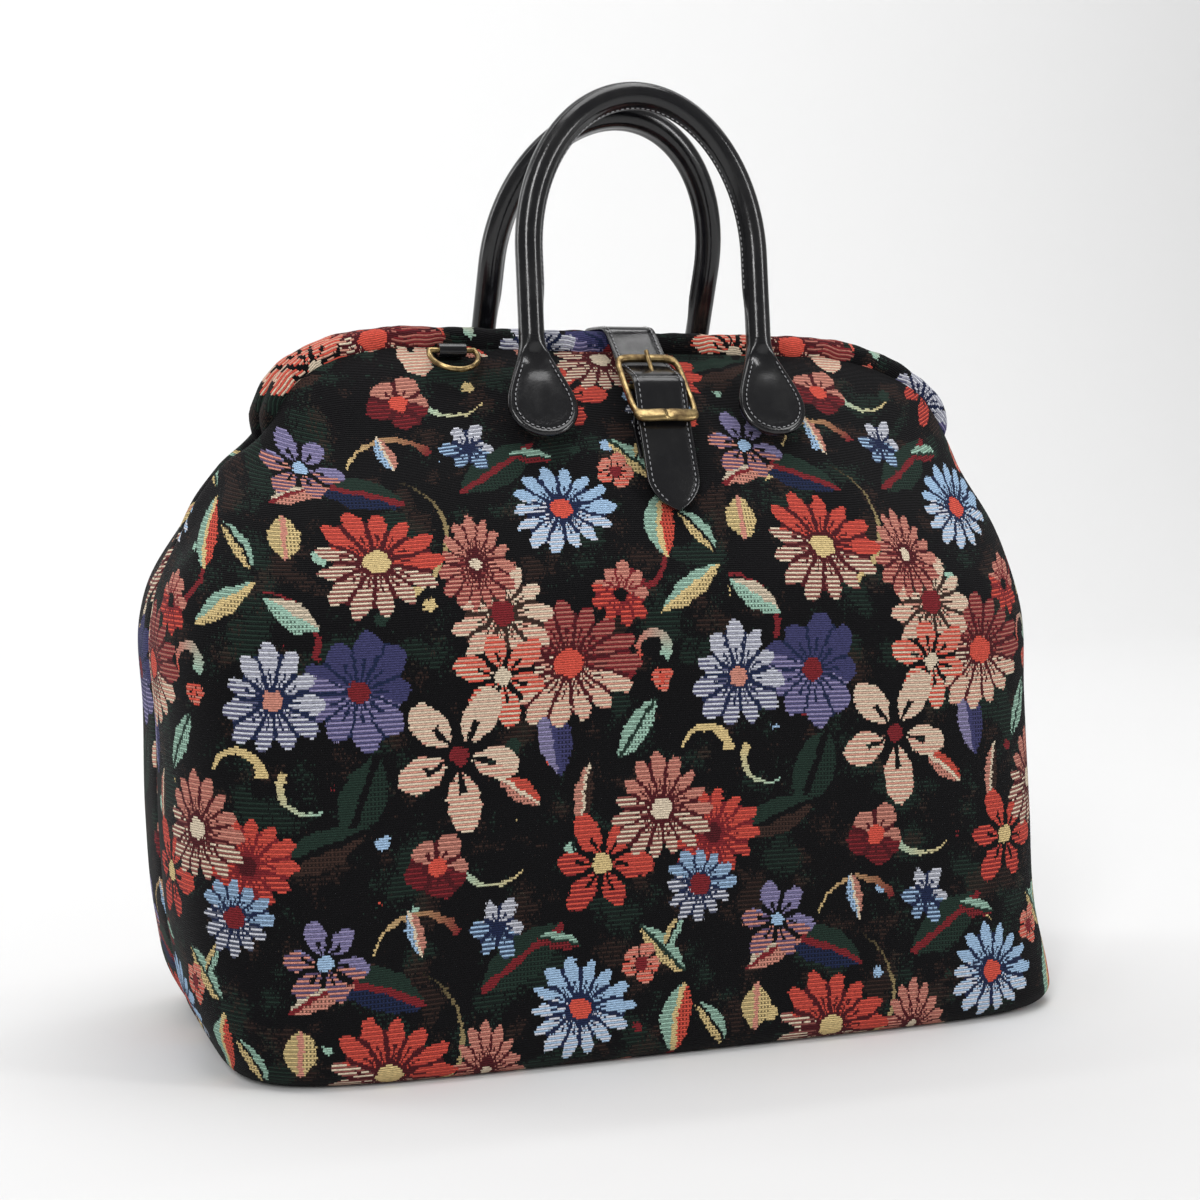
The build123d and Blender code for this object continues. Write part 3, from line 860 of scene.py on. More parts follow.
# ---------------------------------------------------------------- node graphs
Socket = bpy.types.NodeSocket


class Graph:
    """Short words for adding nodes to one node tree."""

    def __init__(self, tree: bpy.types.NodeTree) -> None:
        """Keeps the tree that nodes are added to."""
        self.tree = tree

    def node(self, kind: str, **settings: object) -> bpy.types.Node:
        """Adds a node and sets its properties."""
        made = self.tree.nodes.new(kind)
        for name, value in settings.items():
            setattr(made, name, value)
        return made

    def feed(self, socket: Socket, value: object) -> None:
        """Links a socket into an input, or sets the input's own value."""
        if isinstance(value, bpy.types.NodeSocket):
            self.tree.links.new(value, socket)
        elif socket.type == "RGBA" and len(value) == 3:
            socket.default_value = (*value, 1.0)
        else:
            socket.default_value = value

    def math(self, operation: str, *values: object, clamp: bool = False) -> Socket:
        """A Math node."""
        made = self.node("ShaderNodeMath", operation=operation, use_clamp=clamp)
        for socket, value in zip(made.inputs, values):
            self.feed(socket, value)
        return made.outputs[0]

    def vector(self, operation: str, *values: object) -> bpy.types.Node:
        """A Vector Math node."""
        made = self.node("ShaderNodeVectorMath", operation=operation)
        for socket, value in zip(made.inputs, values):
            self.feed(socket, value)
        return made

    def mix(self, factor: object, a: object, b: object, blend: str = "MIX") -> Socket:
        """A colour Mix node."""
        made = self.node("ShaderNodeMix", data_type="RGBA", blend_type=blend)
        for index, value in ((0, factor), (6, a), (7, b)):
            self.feed(made.inputs[index], value)
        return made.outputs[2]

    def span(
        self, value: object, low: float, high: float, to_low: float = 0.0, to_high: float = 1.0
    ) -> Socket:
        """A Map Range node, smooth and clamped."""
        made = self.node("ShaderNodeMapRange", interpolation_type="SMOOTHSTEP")
        for socket, one in zip(made.inputs, (value, low, high, to_low, to_high)):
            self.feed(socket, one)
        return made.outputs[0]

    def noise(self, place: Socket, scale: float, detail: float = 2.0, rough: float = 0.5) -> Socket:
        """A Noise Texture's value."""
        made = self.node("ShaderNodeTexNoise")
        for name, value in (("Vector", place), ("Scale", scale), ("Detail", detail), ("Roughness", rough)):
            self.feed(made.inputs[name], value)
        return made.outputs["Fac"]

    def split(self, place: Socket) -> tuple[Socket, Socket, Socket]:
        """X, Y and Z of a vector."""
        made = self.node("ShaderNodeSeparateXYZ")
        self.feed(made.inputs[0], place)
        return made.outputs[0], made.outputs[1], made.outputs[2]

    def join(self, x: object, y: object, z: object = 0.0) -> Socket:
        """A vector from its parts."""
        made = self.node("ShaderNodeCombineXYZ")
        for socket, value in zip(made.inputs, (x, y, z)):
            self.feed(socket, value)
        return made.outputs[0]

    def bump(self, height: Socket, distance: float, strength: float = 1.0) -> Socket:
        """A Bump node's normal."""
        made = self.node("ShaderNodeBump")
        for name, value in (("Height", height), ("Distance", distance), ("Strength", strength)):
            self.feed(made.inputs[name], value)
        return made.outputs[0]


def new_finish(name: str) -> tuple[bpy.types.Material, Graph, bpy.types.Node]:
    """A material with one Principled shader, its graph and that shader."""
    material = bpy.data.materials.new(name)
    material.use_nodes = True
    graph = Graph(material.node_tree)
    shader = next(n for n in material.node_tree.nodes if n.type == "BSDF_PRINCIPLED")
    return material, graph, shader


@dataclass(frozen=True)
class Leather:
    """Polished black leather: fine pebble grain, faint creases and a glossy surface."""

    name: str = "polished_black_leather"
    tint: Colour = (0.004, 0.004, 0.005)
    worn: Colour = (0.012, 0.012, 0.012)
    grain: float = 900.0

    def make(self) -> bpy.types.Material:
        """Builds the material."""
        material, g, shader = new_finish(self.name)
        place = g.node("ShaderNodeTexCoord").outputs["Object"]
        cells = g.node("ShaderNodeTexVoronoi", feature="SMOOTH_F1")
        for key, value in (("Vector", place), ("Scale", self.grain), ("Smoothness", 0.6)):
            g.feed(cells.inputs[key], value)
        pebble = cells.outputs["Distance"]
        creases = g.noise(place, 210.0, 4.0, 0.6)
        patches = g.noise(place, 34.0, 2.0)
        g.feed(shader.inputs["Base Color"], g.mix(g.span(patches, 0.45, 0.8, 0.0, 0.6), self.tint, self.worn))
        wear = g.math("ADD", creases, g.math("MULTIPLY", patches, 0.6))
        g.feed(shader.inputs["Roughness"], g.span(wear, 0.5, 1.1, 0.13, 0.27))
        height = g.math("ADD", g.math("MULTIPLY", pebble, 0.5), creases)
        g.feed(shader.inputs["Normal"], g.bump(height, 0.00018, 0.4))
        shader.inputs["Specular IOR Level"].default_value = 0.4
        shader.inputs["Coat Weight"].default_value = 0.2
        shader.inputs["Coat Roughness"].default_value = 0.08
        return material


@dataclass(frozen=True)
class Brass:
    """Antique brass: warm metal with darker patina and fine brushing."""

    name: str = "antique_brass"
    bright: Colour = (0.40, 0.29, 0.13)
    patina: Colour = (0.13, 0.085, 0.040)

    def make(self) -> bpy.types.Material:
        """Builds the material."""
        material, g, shader = new_finish(self.name)
        place = g.node("ShaderNodeTexCoord").outputs["Object"]
        clouds = g.noise(place, 160.0, 4.0, 0.6)
        fine = g.noise(place, 1500.0, 2.0)
        g.feed(shader.inputs["Base Color"], g.mix(g.span(clouds, 0.35, 0.68), self.bright, self.patina))
        shader.inputs["Metallic"].default_value = 1.0
        g.feed(shader.inputs["Roughness"], g.span(clouds, 0.3, 0.75, 0.27, 0.48))
        g.feed(shader.inputs["Normal"], g.bump(g.math("ADD", fine, clouds), 0.00012, 0.35))
        return material


@dataclass(frozen=True)
class Plain:
    """A simple finish: one colour that varies a little, a roughness range and a fine grain."""

    name: str
    tint: Colour
    dark: Colour
    rough: tuple[float, float] = (0.5, 0.8)
    metal: float = 0.0
    scale: float = 600.0
    depth: float = 0.0002

    def make(self) -> bpy.types.Material:
        """Builds the material."""
        material, g, shader = new_finish(self.name)
        place = g.node("ShaderNodeTexCoord").outputs["Object"]
        grain = g.noise(place, self.scale, 3.0, 0.6)
        soft = g.noise(place, self.scale / 12, 2.0)
        g.feed(shader.inputs["Base Color"], g.mix(g.span(soft, 0.35, 0.7), self.tint, self.dark))
        g.feed(shader.inputs["Roughness"], g.span(grain, 0.3, 0.7, *self.rough))
        shader.inputs["Metallic"].default_value = self.metal
        g.feed(shader.inputs["Normal"], g.bump(grain, self.depth, 0.5))
        return material


@dataclass(frozen=True)
class Twill:
    """Black lining twill: fine slanting ribs, with painted highlight on the rib tops and painted shade in the
    grooves.
    """

    name: str = "black_twill_lining"
    tint: Colour = (0.020, 0.020, 0.023)
    # painted highlight: the colour the rib tops are lifted towards, while the grooves keep the darker tint as
    # painted shade
    light: Colour = (0.045, 0.045, 0.050)
    rib: float = 0.0009

    def make(self) -> bpy.types.Material:
        """Builds the material."""
        material, g, shader = new_finish(self.name)
        flat = g.node("ShaderNodeUVMap", uv_map=UV_NAME).outputs[0]
        u, v, _ = g.split(flat)
        slant = g.math("ADD", u, g.math("MULTIPLY", v, 0.8))
        ribs = g.math("PINGPONG", slant, self.rib)
        height = g.span(ribs, 0.0, self.rib)
        # painted light: the colour follows the rib height, lighter on the tops and darker in the grooves
        g.feed(shader.inputs["Base Color"], g.mix(g.math("MULTIPLY", height, 0.7), self.tint, self.light))
        g.feed(shader.inputs["Roughness"], g.span(g.noise(flat, 60.0), 0.3, 0.7, 0.6, 0.85))
        g.feed(shader.inputs["Normal"], g.bump(height, 0.0003, 0.6))
        return material


# ---------------------------------------------------------------- tapestry
def dye(red: int, green: int, blue: int) -> Colour:
    """A yarn colour from its everyday screen values, made linear: ((c / 255 + 0.055) / 1.055)^2.4."""
    return tuple(((c / 255 + 0.055) / 1.055) ** 2.4 for c in (red, green, blue))


class Yarn(Enum):
    """The colours of yarn in the tapestry."""

    INK = dye(11, 10, 13)
    CORAL = dye(222, 88, 72)
    RED = dye(128, 38, 44)
    WINE = dye(82, 26, 32)
    SALMON = dye(216, 146, 128)
    CREAM = dye(232, 214, 188)
    BEIGE = dye(226, 200, 142)
    LAVENDER = dye(150, 142, 182)
    INDIGO = dye(66, 66, 108)
    NAVY = dye(32, 42, 74)
    SKY = dye(168, 200, 232)
    WHITE = dye(218, 220, 230)
    MINT = dye(166, 204, 184)
    GREEN = dye(34, 52, 44)
    BROWN = dye(62, 44, 38)


@dataclass(frozen=True)
class Flower:
    """A round flower: its place and radius in millimetres, its petals and its yarns.

    The yarns are names in this order: upper petals, lower petals, stripes, backing and eye.
    """

    place: tuple[float, float]
    radius: float
    petals: int
    yarns: str
    eye_size: float = 0.2
    notch: float = 0.3
    gap: float = 0.2
    tall: float = 1.0
    turn: float = 0.0


@dataclass(frozen=True)
class Leaf:
    """A pointed leaf or bud: its middle, half-length, half-width, slant in degrees and yarns."""

    place: tuple[float, float]
    length: float
    width: float
    slant: float
    upper: Yarn
    lower: Yarn
    vein: Yarn
    bow: float = 0.0


@dataclass(frozen=True)
class Curl:
    """A tendril: part of a ring with its place, radius, band, start and sweep in degrees."""

    place: tuple[float, float]
    radius: float
    band: float
    start: float
    sweep: float
    upper: Yarn
    lower: Yarn


@dataclass
class Tapestry:
    """Floral chenille: motifs in a repeating field, woven in rows of short thick yarn.

    Every motif is a formula on the flat cloth, read at the middle of each yarn crossing, so that
    its outline steps as woven outlines do. Alternate rows change yarn inside striped petals.
    """

    repeat: tuple[float, float] = (247.0, 268.0)
    row: float = 1.2
    pick: float = 0.8
    flowers: tuple[Flower, ...] = (
        Flower((-140, 122), 17, 5, "SALMON RED WINE WINE CORAL", 0.3, 0.2, 0.2, 1.0, 0.6),
        Flower((-69, 222), 33, 15, "RED CREAM SALMON WINE CORAL", 0.22, 0.25, 0.22, 1.12, 0.4),
        Flower((-39, 257), 17, 9, "SALMON CORAL RED RED INK", 0.22, 0.3, 0.2, 0.95, 0.2),
        Flower((-52, 116), 27, 6, "CORAL CORAL RED INK BEIGE", 0.2, 0.62, 0.2, 1.0, 0.3),
        Flower((-104, 250), 28, 11, "CREAM CREAM SALMON BROWN RED", 0.24, 0.36, 0.24, 0.95, 0.1),
        Flower((-115, 278), 28, 15, "SALMON SALMON RED WINE CREAM", 0.15, 0.3, 0.22, 0.72, 0.5),
        Flower((-166, 283), 33, 13, "CORAL CREAM RED WINE BEIGE", 0.21, 0.34, 0.24, 1.0, 0.15),
        Flower((-105, 217), 25, 6, "CORAL CORAL CREAM INK CREAM", 0.18, 0.6, 0.16, 1.0, 0.9),
        Flower((-64, 308), 27, 14, "SKY WHITE SKY NAVY CORAL", 0.22, 0.36, 0.26, 1.05, 0.3),
        Flower((-179, 214), 30, 9, "INDIGO LAVENDER INDIGO NAVY RED", 0.2, 0.22, 0.13, 0.95, 0.1),
        Flower((-222, 211), 28, 11, "WHITE WHITE INDIGO NAVY SALMON", 0.19, 0.3, 0.22, 0.92, 0.35),
        Flower((-128, 178), 37, 5, "CREAM CREAM SALMON INK RED", 0.14, 0.84, 0.2, 0.95, 0.55),
        Flower((10, 128), 26, 13, "CORAL CORAL RED RED WINE", 0.2, 0.3, 0.24, 1.0, 0.2),
        Flower((-19, 143), 28, 15, "SALMON CREAM RED WINE CREAM", 0.2, 0.3, 0.25, 1.0, 0.25),
        Flower((-198, 346), 22, 6, "LAVENDER SALMON INDIGO INK SKY", 0.18, 0.56, 0.2, 1.0, 0.5),
        Flower((-108, 355), 17, 6, "WHITE SKY NAVY NAVY NAVY", 0.1, 0.58, 0.22, 0.85, 0.2),
        Flower((3, 101), 20, 12, "SKY WHITE NAVY NAVY RED", 0.3, 0.34, 0.24, 1.0, 0.1),
        Flower((-30, 329), 11, 5, "SALMON SALMON CORAL INK RED", 0.34, 0.26, 0.1, 1.0, 0.3),
        Flower((-18, 212), 6, 5, "CORAL CORAL SALMON INK CORAL", 0.3, 0.1, 0.05, 1.0, 0.0),
    )
    leaves: tuple[Leaf, ...] = (
        Leaf((-170, 330), 26, 11, -20, Yarn.GREEN, Yarn.NAVY, Yarn.RED, 0.1),
        Leaf((-178, 160), 24, 12, 70, Yarn.GREEN, Yarn.GREEN, Yarn.INK),
        Leaf((-200, 135), 26, 10, 20, Yarn.GREEN, Yarn.BROWN, Yarn.INK),
        Leaf((-95, 70), 28, 12, 35, Yarn.GREEN, Yarn.GREEN, Yarn.RED),
        Leaf((-236, 293), 16, 5.5, -57, Yarn.MINT, Yarn.BEIGE, Yarn.INK, 0.15),
        Leaf((-247, 259), 22, 6.5, 36, Yarn.MINT, Yarn.BEIGE, Yarn.BEIGE),
        Leaf((-211, 254), 17, 7.0, -34, Yarn.CREAM, Yarn.MINT, Yarn.MINT),
        Leaf((-211, 299), 13.5, 8.5, 88, Yarn.BEIGE, Yarn.BEIGE, Yarn.SALMON),
        Leaf((-11, 297), 21, 8.5, 82, Yarn.MINT, Yarn.CORAL, Yarn.BEIGE, 0.15),
        Leaf((-32, 186), 19, 6.5, 56, Yarn.MINT, Yarn.MINT, Yarn.GREEN),
        Leaf((-77, 184), 21, 9.0, 100, Yarn.LAVENDER, Yarn.INDIGO, Yarn.INDIGO),
        Leaf((-18, 68), 19, 6.5, -48, Yarn.MINT, Yarn.BEIGE, Yarn.GREEN),
        Leaf((-62, 152), 18, 5.0, 84, Yarn.SALMON, Yarn.BROWN, Yarn.CREAM, 0.1),
        Leaf((-96, 158), 14, 6.0, -35, Yarn.CORAL, Yarn.SALMON, Yarn.CREAM),
        Leaf((-12, 345), 10, 3.6, 60, Yarn.BEIGE, Yarn.MINT, Yarn.INK),
        Leaf((-152, 357), 13, 4.5, -75, Yarn.SALMON, Yarn.SKY, Yarn.CREAM),
        Leaf((-75, 345), 13, 5.0, -15, Yarn.MINT, Yarn.RED, Yarn.GREEN),
        Leaf((-200, 62), 20, 7.0, 25, Yarn.CREAM, Yarn.SALMON, Yarn.RED, 0.1),
    )
    curls: tuple[Curl, ...] = (
        Curl((-170, 300), 42, 1.5, -70, 130, Yarn.BEIGE, Yarn.INK),
        Curl((-23, 228), 8, 2.6, -40, 260, Yarn.MINT, Yarn.CORAL),
        Curl((6, 172), 13, 2.6, 0, 170, Yarn.BEIGE, Yarn.BEIGE),
        Curl((-225, 240), 26, 1.6, -20, 110, Yarn.RED, Yarn.RED),
        Curl((-205, 168), 14, 1.8, 150, 150, Yarn.BEIGE, Yarn.MINT),
        Curl((-150, 75), 24, 1.8, 30, 140, Yarn.RED, Yarn.BEIGE),
        Curl((-110, 130), 20, 1.6, 200, 120, Yarn.MINT, Yarn.BEIGE),
        Curl((-40, 285), 30, 1.5, -60, 90, Yarn.RED, Yarn.RED),
    )

    def group(
        self, name: str, amounts: str, colours: str
    ) -> tuple[bpy.types.NodeTree, Graph, bpy.types.Node]:
        """A node group with these named amounts and colours as inputs, and one colour output."""
        tree = bpy.data.node_groups.new(name, "ShaderNodeTree")
        kinds = (("Vector", "Place Centre"), ("Float", "Stripe " + amounts), ("Color", "Under " + colours))
        for kind, labels in kinds:
            for label in labels.split():
                tree.interface.new_socket(name=label, in_out="INPUT", socket_type=f"NodeSocket{kind}")
        tree.interface.new_socket(name="Colour", in_out="OUTPUT", socket_type="NodeSocketColor")
        g = Graph(tree)
        return tree, g, g.node("NodeGroupInput")

    def nearest(self, g: Graph, source: bpy.types.Node) -> Socket:
        """The offset from the motif's nearest copy: place less centre, wrapped to half a repeat."""
        half = (self.repeat[0] / 2, self.repeat[1] / 2, 1.0)
        away = g.vector("SUBTRACT", source.outputs["Place"], source.outputs["Centre"]).outputs[0]
        return g.vector("WRAP", away, half, tuple(-h for h in half)).outputs[0]

    def finish_group(self, g: Graph, colour: Socket) -> None:
        """Sends the last colour out of a group."""
        out = g.node("NodeGroupOutput")
        g.feed(out.inputs[0], colour)

    def flower_group(self) -> bpy.types.NodeTree:
        """Petals: share = distance / radius; a petal's edge is 1 - notch * (1 - |cos(petals * a / 2)|).

        Between petals the backing shows where share * |cos| is under the gap. Lower petals, and
        their alternate rows, take their own yarns, and the eye is a disc in the middle.
        """
        tree, g, source = self.group(
            "woven_flower", "Radius Petals Turn Notch Gap Tall EyeSize", "Upper Lower Second Back Eye")
        get = source.outputs
        x, y, _ = g.split(self.nearest(g, source))
        across = g.math("DIVIDE", x, g.math("MULTIPLY", get["Radius"], get["Tall"]))
        up = g.math("DIVIDE", y, get["Radius"])
        share = g.math("SQRT", g.math("ADD", g.math("MULTIPLY", across, across), g.math("MULTIPLY", up, up)))
        angle = g.math("ARCTAN2", up, across)
        wave = g.math("MULTIPLY_ADD", angle, g.math("MULTIPLY", get["Petals"], 0.5), get["Turn"])
        fat = g.math("ABSOLUTE", g.math("COSINE", wave))
        wobble = g.math("MULTIPLY", g.math("SINE", g.math("MULTIPLY_ADD", angle, 3.0, get["Radius"])), 0.08)
        cut = g.math("MULTIPLY", get["Notch"], g.math("SUBTRACT", 1.0, fat))
        edge = g.math("ADD", g.math("SUBTRACT", 1.0, cut), wobble)
        petal = g.math("LESS_THAN", share, edge)
        apart = g.math("GREATER_THAN", g.math("MULTIPLY", share, fat), get["Gap"])
        vein = g.math("MULTIPLY", g.math("GREATER_THAN", fat, 0.965), g.math("LESS_THAN", share, 0.55))
        petal = g.math("MULTIPLY", petal, g.math("MULTIPLY", apart, g.math("SUBTRACT", 1.0, vein)))
        reach = g.math("MULTIPLY_ADD", wobble, 1.4, 0.93)
        reach = g.math("SUBTRACT", reach, g.math("MULTIPLY", get["Notch"], 0.45))
        backing = g.math("LESS_THAN", share, reach)
        colour = g.mix(backing, get["Under"], get["Back"])
        low = g.math("LESS_THAN", g.math("MULTIPLY_ADD", across, 0.35, up), 0.05)
        colour = g.mix(petal, colour, get["Upper"])
        colour = g.mix(g.math("MULTIPLY", petal, low), colour, get["Lower"])
        much = g.math("MULTIPLY", petal, g.math("MULTIPLY_ADD", low, 0.4, 0.5))
        colour = g.mix(g.math("MULTIPLY", much, get["Stripe"]), colour, get["Second"])
        eye = g.math("LESS_THAN", share, get["EyeSize"])
        self.finish_group(g, g.mix(eye, colour, get["Eye"]))
        return tree

    def leaf_group(self) -> bpy.types.NodeTree:
        """A leaf: |across| < width * (1 - t^2) for t along its length, halved by a vein."""
        tree, g, source = self.group("woven_leaf", "Length Width Slant Bow Dots", "Upper Lower Vein")
        get = source.outputs
        turned = g.node("ShaderNodeVectorRotate", rotation_type="Z_AXIS")
        g.feed(turned.inputs["Vector"], self.nearest(g, source))
        g.feed(turned.inputs["Angle"], get["Slant"])
        x, y, _ = g.split(turned.outputs[0])
        t = g.math("DIVIDE", x, get["Length"])
        t2 = g.math("MULTIPLY", t, t)
        y = g.math("ADD", y, g.math("MULTIPLY", g.math("MULTIPLY", get["Bow"], get["Length"]), t2))
        wide = g.math("MULTIPLY", get["Width"], g.math("SUBTRACT", 1.0, t2))
        inside = g.math("LESS_THAN", g.math("ABSOLUTE", y), wide)
        high = g.math("MULTIPLY", inside, g.math("GREATER_THAN", y, 0.0))
        colour = g.mix(inside, get["Under"], get["Lower"])
        dotted = g.math("MULTIPLY", g.math("MULTIPLY", inside, get["Dots"]), 0.75)
        colour = g.mix(dotted, colour, Yarn.INK.value)
        colour = g.mix(high, colour, get["Upper"])
        striped = g.math("MULTIPLY", g.math("MULTIPLY", high, get["Stripe"]), 0.4)
        colour = g.mix(striped, colour, Yarn.GREEN.value)
        middle = g.math("LESS_THAN", g.math("ABSOLUTE", y), g.math("MULTIPLY", get["Width"], 0.16))
        self.finish_group(g, g.mix(g.math("MULTIPLY", inside, middle), colour, get["Vein"]))
        return tree

    def curl_group(self) -> bpy.types.NodeTree:
        """A tendril: |distance - radius| < band, for angles within the sweep from the start."""
        tree, g, source = self.group("woven_tendril", "Radius Band Start Sweep", "Upper Lower")
        get = source.outputs
        away = self.nearest(g, source)
        x, y, _ = g.split(away)
        far = g.vector("LENGTH", away).outputs["Value"]
        turn = g.math("WRAP", g.math("SUBTRACT", g.math("ARCTAN2", y, x), get["Start"]), 2 * math.pi, 0.0)
        share = g.math("DIVIDE", turn, get["Sweep"])
        taper = g.math("MULTIPLY", get["Band"], g.math("SUBTRACT", 1.25, share))
        from_line = g.math("ABSOLUTE", g.math("SUBTRACT", far, get["Radius"]))
        near = g.math("LESS_THAN", from_line, taper)
        inside = g.math("MULTIPLY", near, g.math("LESS_THAN", share, 1.0))
        self.finish_group(g, g.mix(inside, get["Under"], g.mix(share, get["Upper"], get["Lower"])))
        return tree

    @staticmethod
    def place_motif(
        g: Graph,
        tree: bpy.types.NodeTree,
        common: dict[str, Socket],
        under: Socket,
        place: tuple[float, float],
        **facts: object,
    ) -> Socket:
        """Adds one motif at its place, over what is under it, and gives the colour after it."""
        made = g.node("ShaderNodeGroup", node_tree=tree)
        g.feed(made.inputs["Centre"], (*place, 0.0))
        g.feed(made.inputs["Under"], under)
        for name, value in {**common, **facts}.items():
            if name in made.inputs:
                g.feed(made.inputs[name], value.value if isinstance(value, Yarn) else value)
        return made.outputs[0]

    def ground(self, g: Graph, place: Socket, stripe: Socket) -> Socket:
        """Black ground with dim foliage: soft blots of green, brown and navy, and scattered sprigs."""
        blot = g.noise(place, 0.028, 2.0, 0.6)
        blot_b = g.noise(g.vector("ADD", place, (311.0, 97.0, 0.0)).outputs[0], 0.034, 2.0, 0.6)
        speck = g.noise(place, 0.9, 1.0)
        green = g.math("GREATER_THAN", g.math("MULTIPLY_ADD", speck, 0.35, blot), 0.75)
        brown = g.math("GREATER_THAN", g.math("MULTIPLY_ADD", speck, 0.35, blot_b), 0.78)
        much = g.math("MULTIPLY_ADD", stripe, 0.6, 0.25)
        colour = g.mix(g.math("MULTIPLY", green, much), Yarn.INK.value, Yarn.GREEN.value)
        colour = g.mix(g.math("MULTIPLY", brown, g.math("MULTIPLY", much, 0.8)), colour, Yarn.BROWN.value)
        cells = g.node("ShaderNodeTexVoronoi", feature="F1")
        for name, value in (("Vector", place), ("Scale", 0.043), ("Randomness", 1.0)):
            g.feed(cells.inputs[name], value)
        near = g.math("LESS_THAN", g.math("MULTIPLY_ADD", speck, 0.16, cells.outputs["Distance"]), 0.25)
        pick_it, which, _ = g.split(cells.outputs["Color"])
        near = g.math("MULTIPLY", near, g.math("GREATER_THAN", pick_it, 0.42))
        sprig = g.node("ShaderNodeValToRGB")
        sprig.color_ramp.interpolation = "CONSTANT"
        yarns = (Yarn.BEIGE, Yarn.RED, Yarn.MINT, Yarn.CORAL, Yarn.CREAM, Yarn.GREEN, Yarn.SKY)
        while len(sprig.color_ramp.elements) < len(yarns):
            sprig.color_ramp.elements.new(0.5)
        for i, (stop, yarn) in enumerate(zip(sprig.color_ramp.elements, yarns)):
            stop.position = i / len(yarns)
            stop.color = (*yarn.value, 1.0)
        g.feed(sprig.inputs[0], which)
        return g.mix(near, colour, sprig.outputs[0])

    def make(self) -> bpy.types.Material:
        """Builds the material from the flat-cloth coordinates."""
        material, g, shader = new_finish("floral_tapestry")
        flat = g.node("ShaderNodeUVMap", uv_map=UV_NAME).outputs[0]
        cloth = g.vector("SCALE", flat)
        cloth.inputs["Scale"].default_value = 1000.0
        u, v, _ = g.split(cloth.outputs[0])
        line = g.math("SNAP", v, self.row)
        streak = g.noise(g.join(g.math("MULTIPLY", u, 0.22), g.math("MULTIPLY", line, 1.9)), 1.0, 1.0)
        ragged = g.math("MULTIPLY_ADD", g.math("SUBTRACT", streak, 0.5), 4.2, u)
        sway = g.math("SUBTRACT", g.noise(g.join(u, line), 0.14, 1.0), 0.5)
        drift = g.math("MULTIPLY_ADD", sway, 5.0, line)
        place = g.join(g.math("SNAP", ragged, self.pick), drift)
        stripe = g.math("GREATER_THAN", g.math("FRACT", g.math("DIVIDE", v, 2 * self.row)), 0.5)
        columns = g.math("FRACT", g.math("DIVIDE", u, 1.9))
        dots = g.math("MULTIPLY", stripe, g.math("GREATER_THAN", columns, 0.5))
        common = {"Place": place, "Stripe": stripe, "Dots": dots}
        colour = self.ground(g, place, stripe)
        curl, leaf, flower = self.curl_group(), self.leaf_group(), self.flower_group()
        for one in self.curls:
            colour = self.place_motif(
                g, curl, common, colour, one.place, Radius=one.radius, Band=one.band, Upper=one.upper,
                Start=math.radians(one.start), Sweep=math.radians(one.sweep), Lower=one.lower)
        for one in self.leaves:
            colour = self.place_motif(
                g, leaf, common, colour, one.place, Length=one.length, Width=one.width, Upper=one.upper,
                Slant=math.radians(-one.slant), Bow=one.bow, Lower=one.lower, Vein=one.vein)
        for one in self.flowers:
            yarns = [Yarn[name] for name in one.yarns.split()]
            colour = self.place_motif(
                g, flower, common, colour, one.place, Radius=one.radius, Petals=float(one.petals),
                Turn=one.turn, Notch=one.notch, Gap=one.gap, Tall=one.tall, EyeSize=one.eye_size,
                **dict(zip(("Upper", "Lower", "Second", "Back", "Eye"), yarns)))
        pile = g.noise(g.join(g.math("MULTIPLY", u, 0.55), g.math("MULTIPLY", v, 1.4)), 1.0, 3.0, 0.65)
        colour = g.mix(1.0, colour, self.grey(g, g.span(pile, 0.3, 0.7, 0.62, 1.12)), "MULTIPLY")
        # painted shade: the colour darkens towards each row's edges, in the grooves between rows, following
        # the rib height that also drives the bump
        rib = g.math("PINGPONG", v, self.row / 2)
        rib = g.span(rib, 0.0, self.row / 2)
        colour = g.mix(1.0, colour, self.grey(g, g.math("MULTIPLY_ADD", rib, 0.5, 0.58)), "MULTIPLY")
        g.feed(shader.inputs["Base Color"], colour)
        g.feed(shader.inputs["Roughness"], g.span(pile, 0.3, 0.7, 0.78, 0.95))
        height = g.math("ADD", rib, g.math("MULTIPLY", pile, 1.2))
        g.feed(shader.inputs["Normal"], g.bump(height, 0.00045, 0.8))
        shader.inputs["Specular IOR Level"].default_value = 0.12
        shader.inputs["Sheen Weight"].default_value = 0.02
        return material

    @staticmethod
    def grey(g: Graph, level: Socket) -> Socket:
        """A grey of this level, to multiply a colour by."""
        made = g.node("ShaderNodeCombineColor")
        for socket in made.inputs:
            g.feed(socket, level)
        return made.outputs[0]


